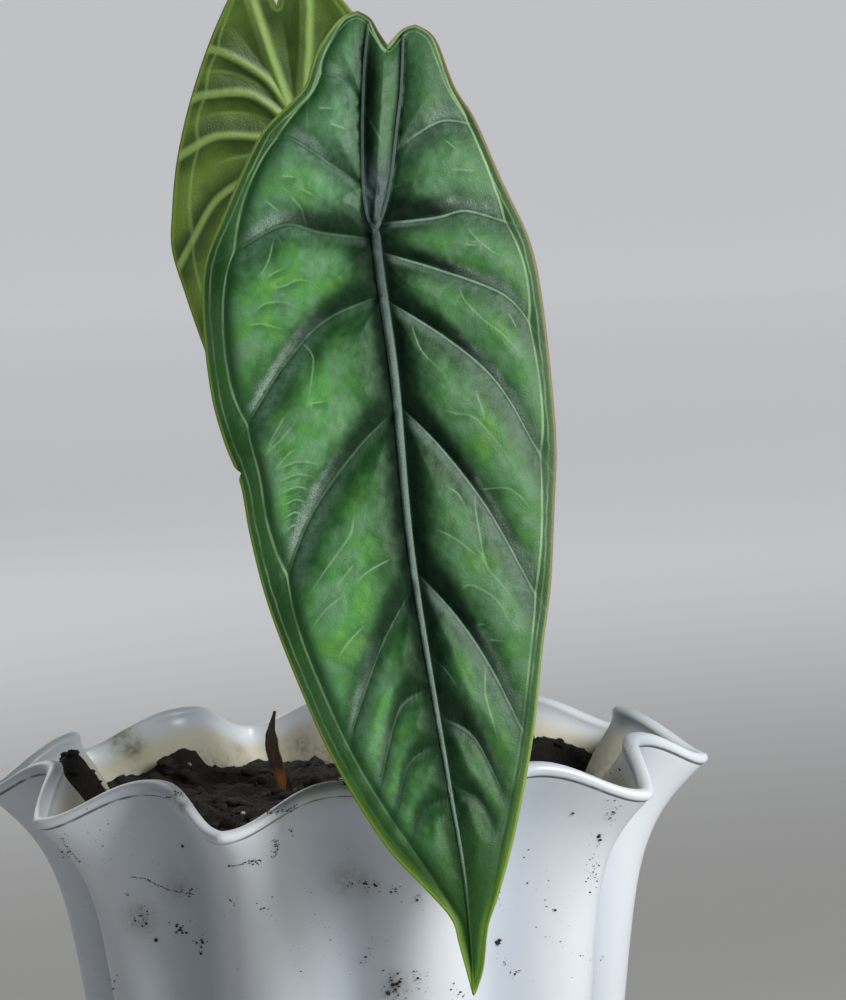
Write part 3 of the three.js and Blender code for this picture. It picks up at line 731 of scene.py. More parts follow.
def upper_leaf():
    recipe = Recipe("leaf_upper")
    (order, gap, midrib, edge, across, along, collective, fine_side, fine_far,
     fine_fade, night, silver, haze, fresh, pale, plate) = [recipe.attribute(name) for name in LEAF_VALUES]
    place = recipe.vector(across, along)
    wander = recipe.noise(place, WANDER_LENGTH) - 0.5
    patch = recipe.noise(recipe.vector(across, along, 40), PATCH_LENGTH, detail=2)
    grain = recipe.noise(place, GRAIN_LENGTH, detail=2, rough=0.7)
    mottle = recipe.noise(place, MOTTLE_LENGTH, rough=0.65)
    right = across.rises(-0.5, 0.5)
    lateral = ((order - order.round()) * gap).abs()
    before_tip = along.falls(*TIP_ZONE)

    # Deep green by the veins, and fresh green with silvery and lime patches in the middle of each bulge
    recipe.ground(fresh + wander * 0.4 + (mottle - 0.5) * 0.25, DEEP_GREEN, FRESH_GREEN)
    recipe.paint(patch.rises(0.4, 0.62) * fresh * (mottle * 0.7 + 0.35), SILVER_GREEN)
    recipe.paint(patch.falls(0.32, 0.48) * fresh * 0.55, LIME_GREEN)
    # Painted sheen on the flanks below and above each side vein, grainy above, and a grey haze on the lobes
    recipe.paint(haze * (mottle.rises(0.3, 0.65) * 0.5 + 0.4), SHEEN_HAZE_GREEN)
    recipe.paint(silver * (grain.rises(0.3, 0.68) * 0.65 + 0.25), SILVER)

    # Fine veins, each with painted shade in a fold beside it
    fold_shade = fine_side.rises(0.05, 0.5) * fine_side.falls(0.5, 2.2) * fine_fade
    recipe.paint(fold_shade * 0.4, DEEP_GREEN)
    fine = fine_side.abs().falls(*FINE_LINE) * fine_far.falls(0.5, 1) * fine_fade
    recipe.paint(fine * (mottle * 0.6 + 0.4), FINE_VEIN)

    # Night green round the midrib, painted shade above the roots of the side veins, and a pale band below
    # each root
    recipe.paint(night + wander * night * 0.5, NIGHT_GREEN)
    recipe.paint(pale * (grain.rises(0.3, 0.7) * 0.5 + 0.4), MIDRIB_GREY)
    # Painted shade: the whole right half a little darker, against the stronger light on that side
    recipe.paint(right * 0.32, NIGHT_GREEN)
    recipe.paint(lateral.falls(*VEIN_SHADOW) * midrib.rises(3, 12) * 0.5 * before_tip, DEEP_GREEN)
    line = lateral.falls(*VEIN_LINE) * midrib.rises(0.5, 6) * along.falls(*VEINS_END)
    recipe.paint(line * (right * 0.4 + 0.25), SILVER)

    # Margin: a band outside the collective vein, a second fine line in it and a light rim
    band = recipe.mix(right * 0.8 + mottle * 0.3 - 0.1, BAND_GREEN, BAND_GREY)
    band = recipe.mix(right * 0.2, band, NIGHT_GREEN)
    # Painted shade in the trough just inside the collective vein, weaker on the right half
    trough_shade = collective.falls(0.8, 3.6) * collective.rises(-0.3, 0.4)
    recipe.paint(trough_shade * (0.85 - right * 0.5), DEEP_GREEN)
    recipe.paint(collective.falls(-0.5, 0.1) * 0.85, band)
    worn = recipe.noise(place, WORN_LENGTH, detail=2).rises(0.35, 0.6) * 0.4 + 0.2
    worn = worn * (along.falls(*WORN_END) * 0.7 + 0.3) * before_tip
    recipe.paint(collective.abs().falls(*MARGIN_LINE) * worn, PALE_VEIN)
    recipe.paint((edge - SECOND_INSET - wander * 0.6).abs().falls(*SECOND_LINE) * worn * 0.6, PALE_VEIN)
    recipe.paint(along.rises(*TIP_TONE) * 0.85, TIP_DEEP)
    recipe.paint(along.rises(*TIP_EDGE_TONE) * edge.falls(0.3, 1.8) * 0.8, TIP_GREEN)
    rim = recipe.mix(right * along.falls(*RUSSET_END) * 0.8, RIM_GREEN, RIM_RUSSET)
    recipe.paint(edge.falls(*RIM_LINE) * 0.75, rim)

    # Plate between the lobes, midrib and costae
    recipe.paint(plate * (grain * 0.4 + 0.7), PLATE_GREY)
    body = along.rises(-2, 2)
    width = body * (along.falls(0, 150) * 0.64 + 0.28) + (1 - body) * 0.3
    cord = (midrib / width).falls(0.72, 1.12) * along.falls(*CORD_END)
    grey = recipe.mix(along.falls(4, 34) * 0.7, MIDRIB_GREY, PLATE_GREY)
    recipe.paint(cord * (grain.rises(0.25, 0.7) * 0.35 + 0.6), grey)

    roughness = grain * 0.16 + 0.42 - silver * 0.08 + night * 0.2
    plug(recipe.tree, recipe.shader.inputs["Specular IOR Level"], 0.3 - night * 0.22 + silver * 0.1)
    return recipe.finish(roughness, mottle * 0.6 + grain * 0.4, 0.2)


def under_leaf():
    recipe = Recipe("leaf_under")
    order, gap, midrib, edge, across, along, collective, fine_side, fine_far, fine_fade = [
        recipe.attribute(name) for name in LEAF_VALUES[:10]
    ]
    place = recipe.vector(across, along)
    wander = recipe.noise(place, UNDER_WANDER_LENGTH) - 0.5
    grain = recipe.noise(place, UNDER_GRAIN_LENGTH, detail=2)
    lateral = ((order - order.round()) * gap).abs()
    recipe.ground((lateral + wander * 6).rises(0.5, 7), OLIVE_DEEP, OLIVE)
    fine = fine_side.abs().falls(*UNDER_FINE_LINE) * fine_far.falls(0.7, 1.3) * fine_fade
    recipe.paint(fine * 0.25, OLIVE_VEIN)
    recipe.paint(lateral.falls(*UNDER_VEIN_LINE) * 0.8, OLIVE_VEIN)
    recipe.paint(midrib.falls(*UNDER_MIDRIB_LINE) * 0.85, OLIVE_VEIN)
    recipe.paint(collective.abs().falls(*UNDER_MARGIN_LINE) * 0.35, OLIVE_VEIN)
    recipe.paint(edge.falls(*UNDER_RIM_LINE) * 0.5, RIM_GREEN)
    return recipe.finish(grain * 0.1 + 0.44, grain, 0.12, Specular_IOR_Level=0.4)


# Other materials

POT_WHITE = tint(216, 223, 230)
POT_SHADE = tint(176, 186, 198)
POT_INSIDE = tint(196, 186, 152)
GRIME = tint(96, 80, 46)
ALGAE = tint(120, 128, 72)
DIRT = tint(46, 34, 24)
SOIL_DARK = tint(12, 9, 7)
SOIL_BROWN = tint(38, 27, 19)
SOIL_FIBRE = tint(104, 78, 50)
STALK_GREEN = tint(110, 134, 70)
STALK_PALE = tint(142, 160, 98)
STALK_FLECK = tint(78, 74, 46)
BARK = tint(84, 66, 46)
BARK_DARK = tint(44, 33, 24)
BARK_SCAR = tint(140, 118, 84)
BRACT_DARK = tint(44, 28, 16)
BRACT_ORANGE = tint(158, 94, 40)
PERLITE = tint(206, 202, 190)
PAPER = tint(190, 190, 189)
PAPER_CLOUD = tint(194, 194, 193)
PAPER_LIGHT = (0.93, 0.95, 1, 1)


# Lengths of these materials' noise and of the plastic's dust cells, in millimetres
POT_CLOUD = 14
POT_MOTTLE = 1.6
CREASE_PATCH = 5
DUST_CELL = 2.6
DUST_PATCH = 9
EARTH_CLOD = 3.5
EARTH_FIBRE = 0.9
DIRT_CLOD = 0.8
PERLITE_PORE = 0.35
STALK_PORE = 0.7
BARK_ROUGH = 2.2
PAPER_BLOTCH = 400


def moulded_plastic():
    """White plastic with painted shade in its valleys, a dark patchy line under the lip, and a beige tone and
    grime inside.
    """
    recipe = Recipe("pot_plastic")
    depth, inside, valley = (recipe.attribute(name) for name in ("depth", "inside", "valley"))
    stain, moss = recipe.attribute("stain"), recipe.attribute("moss")
    place = recipe.place()
    cloud = recipe.noise(place, POT_CLOUD, detail=2)
    fine = recipe.noise(place, POT_MOTTLE, rough=0.6)
    # Painted shade: the valleys of the pleats darker and bluer
    recipe.ground(valley * 0.85 + cloud * 0.15, POT_WHITE, POT_SHADE)
    # A beige tone on the inner wall below the rim, with patchy grime deeper down
    deep_inside = inside * depth.rises(2.5, 6)
    recipe.paint(deep_inside * (cloud * 0.5 + 0.4), POT_INSIDE)
    recipe.paint(deep_inside * depth.rises(5, 14) * fine.rises(0.35, 0.75) * 0.6, GRIME)
    recipe.paint(moss * (fine * 0.5 + 0.5), ALGAE)
    recipe.paint(stain * (fine.rises(0.3, 0.7) * 0.7 + 0.45), GRIME)
    # A dark patchy line in the crease under the lip
    crease = (depth - LIP_HEIGHT - 0.1).abs().falls(0.05, 0.3) * (1 - inside)
    recipe.paint(crease * recipe.noise(place, CREASE_PATCH, detail=4).rises(0.25, 0.5) * 0.85, DIRT)
    patch = recipe.noise(place, DUST_PATCH, detail=2).rises(0.5, 0.64)
    recipe.paint(recipe.cells(place, DUST_CELL).falls(0.05, 0.1) * patch * 0.55, GRIME)
    roughness = fine * 0.12 + 0.27 + deep_inside * 0.25
    return recipe.finish(roughness, fine, 0.02)


def earth():
    recipe = Recipe("potting_mix")
    shade = recipe.attribute("shade")
    place = recipe.place()
    clod = recipe.noise(place, EARTH_CLOD, detail=5, rough=0.65)
    fibre = recipe.noise(place, EARTH_FIBRE, warp=2.5)
    recipe.ground(clod.rises(0.42, 0.72) * 0.7 + shade * 0.3, SOIL_DARK, SOIL_BROWN)
    recipe.paint(fibre.rises(0.64, 0.72) * 0.5, SOIL_FIBRE)
    return recipe.finish(clod * 0.25 + 0.7, clod * 0.6 + fibre * 0.4, 0.7)


def dirt():
    recipe = Recipe("dirt")
    clod = recipe.noise(recipe.place(), DIRT_CLOD)
    recipe.ground(clod, DIRT, SOIL_BROWN)
    return recipe.finish(0.9, clod, 0.15)


def perlite():
    recipe = Recipe("perlite")
    pore = recipe.cells(recipe.place(), PERLITE_PORE)
    recipe.ground(pore.rises(0.3, 0.8) * 0.5, PERLITE, GRIME)
    return recipe.finish(0.85, pore, 0.2)


def stalk_skin():
    recipe = Recipe("stalk_skin")
    rise, turn = recipe.attribute("rise"), recipe.attribute("turn")
    streak = recipe.noise(recipe.vector(turn * 1.4, rise * 5), 1)
    fleck = recipe.noise(recipe.vector(turn * 3, rise * 46), 1, detail=2)
    recipe.ground(streak, STALK_GREEN, STALK_PALE)
    recipe.paint(fleck.rises(0.55, 0.68) * rise.falls(0.5, 1.2) * 0.75, STALK_FLECK)
    recipe.paint(rise.falls(0, 0.09) * 0.7, BARK)
    return recipe.finish(streak * 0.15 + 0.36, recipe.noise(recipe.place(), STALK_PORE), 0.08)


def bark():
    recipe = Recipe("rhizome_bark")
    rough = recipe.noise(recipe.place(), BARK_ROUGH, detail=5, rough=0.65)
    recipe.ground(rough.rises(0.35, 0.65), BARK_DARK, BARK)
    recipe.paint(recipe.attribute("scar") * (rough * 0.6 + 0.3), BARK_SCAR)
    return recipe.finish(rough * 0.2 + 0.7, rough, 0.5)


def dry_paper():
    recipe = Recipe("bract_paper")
    rise = recipe.attribute("rise")
    streak = recipe.noise(recipe.vector(recipe.attribute("turn") * 5, rise * 3), 1, detail=4)
    lit = recipe.attribute("rim").rises(0.55, 0.95) * (streak * 0.6 + 0.5)
    recipe.ground(rise.rises(0.34, 0.5) + streak * 0.5 - 0.25, BRACT_ORANGE, BRACT_DARK)
    recipe.paint(lit, BRACT_ORANGE)
    return recipe.finish(streak * 0.2 + 0.62, streak, 0.25)


def studio_paper():
    recipe = Recipe("studio_paper")
    cloud = recipe.noise(recipe.place(), PAPER_BLOTCH, detail=0)
    recipe.ground(cloud, PAPER, PAPER_CLOUD)
    plug(recipe.tree, recipe.shader.inputs["Emission Strength"], recipe.attribute("glow") * PAPER_GLOW)
    return recipe.finish(0.9, Specular_IOR_Level=0.2, Emission_Color=PAPER_LIGHT)


# Blades: both faces share one grid of rows and columns

COLUMN_BIAS = 0.6
EDGE_POINTS = 5


def leaf_axes(leaf):
    """The leaf's own frame: its junction, along it to the tip, up from its upper side, and right."""
    junction, tip = (np.array(leaf[key], float) for key in ("junction", "tip"))
    along = (tip - junction) / np.linalg.norm(tip - junction)
    up = np.array([0.0, leaf["facing"], 0.0])
    up -= along * (up @ along)
    up /= np.linalg.norm(up)
    return junction, along, up, np.cross(up, along)


def half_places(leaf, side):
    """One half of a blade, in rows from its tip to the sinus and columns from the midline to the margin."""
    midline, margin, sinus = (spline(points) for points in (leaf["midline"], side["margin"], side["sinus"]))
    fan = np.array(ROW_FAN)
    last, last_inner = fan[-1]
    shares = np.linspace(0, last, leaf["rows"] + 1)
    past = np.linspace(0, 1, SINUS_ROWS + 1)[1:]
    inner = along_chain(midline, np.minimum(1, np.interp(shares, *fan.T) / last_inner))
    inner = np.vstack([inner, along_chain(sinus, past)])
    outer = along_chain(margin, np.concatenate([shares, last + (1 - last) * past]))
    for along, depth, reach in side.get("nicks", ()):
        outer[:, 0] *= 1 - depth / HALF_WIDTH * bell(outer[:, 1] - along, reach)
    step = np.linspace(0, 1, leaf["columns"] + 1)
    columns = step * (COLUMN_BIAS + (1 - COLUMN_BIAS) * step)
    return inner[:, None] + (outer - inner)[:, None] * columns[None, :, None]


def vein_heights(side, sign, across):
    """How far along the leaf each side vein runs at a distance across, going straight on past its ends."""
    heights = []
    for lateral in side["laterals"]:
        x, t = spline(lateral).T
        x = x * sign
        start = (t[4] - t[0]) / (x[4] - x[0])
        end = np.clip((t[-1] - t[-5]) / (x[-1] - x[-5]), *END_SLOPES)
        before, past = np.minimum(0, across - x[0]), np.maximum(0, across - x[-1])
        height = np.interp(across, x, t) + start * before + end * past
        if heights:
            height = np.maximum(height, heights[-1] + LEAST_GAP)
        heights.append(height)
    return np.array(heights)


def vein_order(side, sign, places):
    """Between which side veins each place lies, counted towards the tip, and the gap between those two."""
    across, along = sign * places[:, 0], places[:, 1]
    heights = vein_heights(side, sign, across)
    slopes = vein_heights(side, sign, across + 0.5) - vein_heights(side, sign, across - 0.5)
    above = (heights <= along).sum(axis=0)
    last = len(heights) - 1
    each = np.arange(len(places))
    upper, lower = np.clip(above - 1, 0, last), np.clip(above, 0, last)
    gap = np.where(upper == lower, END_GAP, heights[lower, each] - heights[upper, each])
    order = upper + (along - heights[upper, each]) / gap
    order = np.clip(order, -0.49, last + 0.49)
    return order, gap / np.hypot(1, slopes[upper, each])


def fine_chains(side, sign):
    """The fine veins of a half: its own list, or else one between each two side veins."""
    if "fine" in side:
        return [spline(points, 4) for points in side["fine"]]
    across = np.linspace(5, 21, 9)
    heights = vein_heights(side, sign, across)
    middles = (heights[1:] + heights[:-1]) / 2
    return [np.stack([sign * across, middle], axis=-1) for middle in middles]


def side_of_nearest(chains, places):
    """How far each place is from the nearest chain, the same signed by its side, and its strength there."""
    far = np.full(len(places), FINE_FAR)
    signed, strong = far.copy(), 0 * far
    for chain in chains:
        steps = len(chain) - 1
        for k, (a, b) in enumerate(zip(chain[:-1], chain[1:])):
            run = b - a
            share = np.clip((places - a) @ run / max(run @ run, TINY), 0, 1)
            off = places - a - share[:, None] * run
            distance = np.linalg.norm(off, axis=1)
            nearer = distance < far
            turned = np.where(run[0] * off[:, 1] < run[1] * off[:, 0], -distance, distance)
            walked = (k + share) / steps
            fade = smoothstep(*FINE_START, walked) * (1 - smoothstep(*FINE_END, walked))
            far, signed = np.where(nearer, distance, far), np.where(nearer, turned, signed)
            strong = np.where(nearer, fade, strong)
    return far, signed, strong


def between_costae(leaf, across, along):
    """Where a place lies between the two costae, from 0 at the left one to 1 at the right one."""
    left, right = (spline(points)[::-1].T for points in leaf["costae"])
    if left[0][0] > right[0][0]:
        left, right = right, left
    start, end = (np.interp(along, line[1], line[0]) for line in (left, right))
    return (across - start) / np.maximum(end - start, 0.6)


# Where the tones of the upper side change: along the leaf in millimetres, and on the way out to the margin
BODY_ZONE = (-6, 2)
TIP_FADE = (70, 125)
LOBE_FADE = (-30, -8)
WEDGE_FADE = (-16, -6)
ROOT_SHARES = (0.2, 0.62)
OUTER_SHARES = (0.28, 0.55)
WEDGE_SHARES = (0.42, 0.76)
FRESH_SHARES = (0.1, 0.4)

# Over which distances from a side vein each tone comes and goes, in millimetres
PALE_START = (0.1, 0.4)
PALE_END = (0.8, 2.4)
SILVER_SHEEN_START = (0.15, 0.5)
SILVER_SHEEN_END = (1.2, 3.6)
HAZE_SHEEN_START = (0.2, 0.8)
HAZE_SHEEN_END = (1.2, 4.8)

# How far the midrib's shade reaches on each half of a leaf, and how strong some of its tones are there
HALF_TONES = {
    "left": {"reach": 3.2, "wedge": 0.75, "haze": 0.45, "fresh": 1, "pale": 0.3},
    # The right half's weaker fresh green is painted shade against the stronger light on that side
    "right": {"reach": 4.2, "wedge": 0.9, "haze": 0.25, "fresh": 0.8, "pale": 0.8},
}


def leaf_tones(tones, values, between):
    """How strong each tone of the upper side is at each place, from 0 to 1."""
    keys = ("rib_order", "rib_gap", "midrib", "edge", "along")
    order, gap, core, edge, along = (values[key] for key in keys)
    flat = np.stack([values["across"], along, 0 * along], axis=-1)
    broad, small = fractal(flat, 7, 2, seed=4), fractal(flat, 2.4, 3, seed=5)
    below = (order - np.round(order)) * gap
    above = -below
    share = core / (core + edge + TINY)
    snug = np.clip(gap / 12, 0.25, 1)
    body = smoothstep(*BODY_ZONE, along)
    to_tip = smoothstep(*TIP_FADE, along)
    root = 1 - smoothstep(*ROOT_SHARES, share)
    outer = smoothstep(*OUTER_SHARES, share)
    clear = smoothstep(0.2, 1.4, values["collective"])

    reach = 0.8 + body * tones["reach"] * (1 - 0.5 * to_tip)
    shade = 1 - smoothstep(0.3 * reach, 1.2 * reach, core + 0.9 * small)
    # Painted shade on the flank above each side vein, from the midrib outwards
    wedge_reach = snug * (9.5 - 12 * share + 1.6 * small)
    wedge = smoothstep(-0.25, 0.25, above) * (1 - smoothstep(0.35, 1, above / np.maximum(wedge_reach, 0.4)))
    wedge *= (1 - smoothstep(*WEDGE_SHARES, share)) * smoothstep(*WEDGE_FADE, along)
    hub = bell(along - 3, 11) * (1 - smoothstep(3, 8.5, core + small))
    wedge *= tones["wedge"] * (1 - 0.45 * to_tip)
    night = np.max([shade * (1 - 0.55 * to_tip), wedge, 0.85 * hub * body], axis=0)

    pale = smoothstep(*PALE_START, below) * (1 - smoothstep(*PALE_END, below / snug))
    pale *= root * smoothstep(1.5, 3, core)
    # Painted sheen on the flanks beside each side vein, silver above and hazy below; the lobes also get a
    # grey haze
    silver = smoothstep(*SILVER_SHEEN_START, above) * (1 - smoothstep(*SILVER_SHEEN_END, above / snug + small)) * outer
    haze = smoothstep(*HAZE_SHEEN_START, below) * (1 - smoothstep(*HAZE_SHEEN_END, below / snug + broad)) * outer * 0.8
    haze = np.maximum(haze, tones["haze"] * (1 - body) * smoothstep(0.6, 2, core))
    fresh = smoothstep(0.06, 0.4, np.abs(order - np.round(order)) + 0.06 * small)
    fresh *= smoothstep(*FRESH_SHARES, share) * (1 - 0.6 * to_tip) * tones["fresh"]
    fresh *= 0.4 + 0.6 * smoothstep(*LOBE_FADE, along)

    strip = smoothstep(-0.1, 0.05, between) * smoothstep(-0.1, 0.05, 1 - between)
    strip *= 1 - smoothstep(-3, 0, along)
    tube = 1 - (2 * np.clip(between, 0, 1) - 1) ** 2
    plate = strip * smoothstep(-17, -9, along) * (0.75 + 0.25 * tube)
    # Painted shade in the furrows beside the costae, and a painted highlight along the middle of the tube
    # between them
    furrow_shade = np.maximum(1 - smoothstep(0.25, 0.55, between), smoothstep(0.82, 0.95, between))
    night = night * (1 - strip) + strip * furrow_shade * 0.92
    fresh = fresh * (1 - strip) + strip * tube * 0.35
    haze, silver, pale = (tone * (1 - strip) for tone in (haze, silver, pale))
    return {
        "night": night, "pale": pale * tones["pale"] * (1 - to_tip), "plate": plate, "fresh": fresh,
        "silver": np.minimum(1, silver * 1.2) * clear * (1 - to_tip), "haze": haze * clear,
    }


def blade_relief(leaf, half, sign, grid):
    """Heights of the two faces above the leaf's flat frame, and the values that its materials read."""
    side = leaf[half]
    places = grid.reshape(-1, 2)
    across, along = places.T
    midrib = distance_to(spline(leaf["midline"]), places)
    costa = np.min([distance_to(spline(points), places) for points in leaf["costae"]], axis=0)
    laterals = [points for part in (leaf["left"], leaf["right"]) for points in part["laterals"]]
    vein = np.minimum(costa, np.min([distance_to(spline(points), places) for points in laterals], axis=0))
    outlines = [spline(leaf[each][part]) for each in ("left", "right") for part in ("margin", "sinus")]
    edge = np.min([distance_to(chain, places) for chain in outlines], axis=0)
    order, gap = vein_order(side, sign, places)
    width = np.repeat(np.linalg.norm(grid[:, -1] - grid[:, 0], axis=1), grid.shape[1])
    slim = np.clip(width / 22, 0.3, 1) * side.get("band", 1)
    by_vein = (1 - 2 * np.abs(order - np.round(order))) * (1 - 0.85 * smoothstep(62, 100, along))
    slim *= 0.55 + 0.45 * smoothstep(-18, 8, along)
    collective = edge - (COLLECTIVE_INSET + COLLECTIVE_SCALLOP * by_vein**2) * slim
    fine_far, fine_side, fine_fade = side_of_nearest(fine_chains(side, sign), places)
    between = between_costae(leaf, across, along)
    body = along > 0
    core = np.where(body, np.minimum(midrib, costa + 3 * np.maximum(along, 0)), costa)
    values = {
        "rib_order": order, "rib_gap": gap, "midrib": core, "edge": edge, "across": across, "along": along,
        "collective": collective, "fine_side": fine_side, "fine_far": fine_far, "fine_fade": fine_fade,
    }
    values |= leaf_tones(HALF_TONES[half], values, between)

    open_reach = np.where(body, np.minimum(midrib, vein), vein)
    inside = 1 - bell(edge, MARGIN_REACH)
    quilt = QUILT * (1 - bell(open_reach, QUILT_REACH)) * inside
    end = np.where(body, BOW * np.sin(np.pi * along / BOW_SPAN), -LOBE_FALL * (along / LOBE_LENGTH) ** 2)
    base = quilt + end - CAMBER * (across / HALF_WIDTH) ** 2
    strength = np.where(body, 1 - along / MIDRIB_FADE, bell(along, MIDRIB_END))
    rib = MIDRIB_RIDGE * strength * bell(midrib, MIDRIB_REACH)
    ridge = np.maximum(rib, VEIN_RIDGE * bell(vein, VEIN_REACH)) * inside
    thickness = BLADE_EDGE + (BLADE - BLADE_EDGE) * smoothstep(0, 3, edge)

    taper = np.clip(1 - along / MIDRIB_FADE, 0, 1) * bell(along.clip(max=0), MIDRIB_END)
    cord = CORD_RISE * taper * np.sqrt(np.clip(1 - (midrib / (CORD_WIDTH * taper + TINY)) ** 2, 0, 1))
    cord = np.maximum(cord, HUB_RISE * bell(np.hypot(across, along), HUB_REACH))
    costa_cord = COSTA_RISE * np.sqrt(np.clip(1 - (costa / COSTA_WIDTH) ** 2, 0, 1))
    groove = GROOVE_DEPTH * bell(vein, GROOVE_REACH) + FINE_GROOVE * fine_fade * bell(fine_far, FINE_REACH)
    groove = groove * inside + COLLECTIVE_GROOVE * bell(collective, COLLECTIVE_REACH)
    tube = TUBE_RISE * np.clip(1 - (2 * between - 1) ** 2, 0, 1) * smoothstep(-2, -14, along) * inside
    flat = np.stack([across, along, 0 * along], axis=-1)
    pebble = (PEBBLE * fractal(flat, 5, 3) + PEBBLE / 3 * fractal(flat, 1.6, 2, seed=6)) * inside
    under_cord = UNDER_CORD * bell(vein, UNDER_REACH) * inside
    upper = base - groove + np.maximum(cord, costa_cord) + tube + pebble
    lower = base - thickness - ridge - under_cord + pebble / 2
    shape = grid.shape[:2]
    return upper.reshape(shape), lower.reshape(shape), {k: v.reshape(shape) for k, v in values.items()}


def make_blade(name, leaf, upper_material, under_material):
    junction, along, up, right = leaf_axes(leaf)
    sheets = Sheets()

    def placed(flat, height):
        return junction + flat[..., :1] * right + flat[..., 1:] * along + height[..., None] * up

    for half, sign in (("left", -1), ("right", 1)):
        grid = half_places(leaf, leaf[half])
        upper, lower, values = blade_relief(leaf, half, sign, grid)
        outward = grid[:, -1] - grid[:, -2]
        outward /= np.linalg.norm(outward, axis=1, keepdims=True) + TINY
        radius = (upper[:, -1] - lower[:, -1]) / 2
        middle = (upper[:, -1] + lower[:, -1]) / 2
        turns = np.linspace(np.pi / 2, -np.pi / 2, EDGE_POINTS)
        rim_flat = grid[:, -1:] + (outward * radius[:, None])[:, None] * np.cos(turns)[None, :, None]
        rim_height = middle[:, None] + radius[:, None] * np.sin(turns)
        rim_values = {key: value[:, -1:] for key, value in values.items()}
        sheets.grid(placed(grid, upper), 0, **values)
        sheets.grid(placed(grid, lower), 1, **values)
        sheets.grid(placed(rim_flat, rim_height), 0, **rim_values)
        open_rows = slice(leaf["rows"], None)
        wall = np.stack([upper[open_rows, 0], lower[open_rows, 0]], axis=1)
        wall_flat = np.repeat(grid[open_rows, :1], 2, axis=1)
        wall_values = {key: value[open_rows, :1] for key, value in values.items()}
        sheets.grid(placed(wall_flat, wall), 0, **wall_values)
    return sheets.piece(name, [upper_material, under_material])


# Stalks, rhizome and bract

STALK_TOP = -(BLADE + MIDRIB_RIDGE)


def stalk_path(leaf, route):
    """The stalk's centre line: a smooth curve whose pull is shared out by the square root of each stretch."""
    junction, _, up, _ = leaf_axes(leaf)
    end = junction + up * (STALK_TOP - STALK_CLEARANCE)
    approach = end - up * STALK_BEND - np.array([0, 0, STALK_SAG])
    points = np.vstack([route, approach, end])
    points = np.vstack([2 * points[0] - points[1], points, 2 * points[-1] - points[-2]])
    knots = np.sqrt(np.linalg.norm(np.diff(points, axis=0), axis=1))
    chain = []
    for k in range(1, len(points) - 2):
        a, b, c, d = points[k - 1:k + 3]
        before, here, after = knots[k - 1:k + 2]
        leave = ((b - a) / before - (c - a) / (before + here) + (c - b) / here) * here
        reach = ((c - b) / here - (d - b) / (here + after) + (d - c) / after) * here
        w = np.linspace(0, 1, STALK_STEPS, endpoint=k == len(points) - 3)[:, None]
        bend = (3 * (c - b) - 2 * leave - reach) * w**2
        chain.append(b + leave * w + bend + (2 * (b - c) + leave + reach) * w**3)
    return np.vstack(chain), up


def make_stalk(name, leaf, route, material):
    chain, up = stalk_path(leaf, route)
    shares = np.linspace(0, 1, STALK_RINGS + 1)
    centres = along_chain(chain, shares)
    centres[-1] += up * (STALK_CLEARANCE + STALK_SINK)
    headings = np.gradient(centres, axis=0)
    headings[0], headings[-1] = (0, 0, 1), up
    radii = spline(np.array([(k, r) for k, r in enumerate(STALK_RADII)]), 30)
    radii = np.interp(shares * (len(STALK_RADII) - 1), *radii.T)
    for flare, share in zip(STALK_FLARES, (shares, 1 - shares)):
        radii = radii + flare * bell(share, FLARE_SHARE)
    turns = round_turns(STALK_SIDES)
    rings = []
    for centre, heading, radius in zip(centres, headings, radii):
        side, other = ring_frame(heading / np.linalg.norm(heading))
        channel = STALK_CHANNEL * bell(np.sin((turns - np.pi / 2) / 2), 0.25)
        uneven = radius * (1 + STALK_RIBS * np.sin(3 * turns) - channel)
        across, over = np.outer(uneven * np.cos(turns), side), np.outer(uneven * np.sin(turns), other)
        rings.append(centre + across + over)
    turn = np.linspace(0, 2 * np.pi, STALK_SIDES + 1)
    return one_sheet(name, material, closed_rings(np.array(rings)), rise=with_ends(shares), turn=turn)


def make_rhizome(material):
    heights = np.linspace(RHIZOME_PROFILE[0][1], RHIZOME_PROFILE[-1][1], RHIZOME_RINGS)
    profile = np.array(RHIZOME_PROFILE)
    radii = np.interp(heights, profile[:, 1], profile[:, 0])
    scar = np.interp(heights, *np.array(SCARS).T)
    turns = round_turns(RHIZOME_SIDES)
    ring = np.stack([np.cos(turns), np.sin(turns), 0 * turns], -1)
    places = ring * radii[:, None, None] + np.array([*RHIZOME_PLACE, 0]) + heights[:, None, None] * [0, 0, 1]
    places = places + ring * BARK_LUMPS * fractal(places, BARK_LENGTH, 4, seed=3)[..., None]
    places[-1] += [0, 0, TOP_RISE]
    return one_sheet("rhizome_stem", material, closed_rings(places), scar=with_ends(scar, TOP_SCAR))


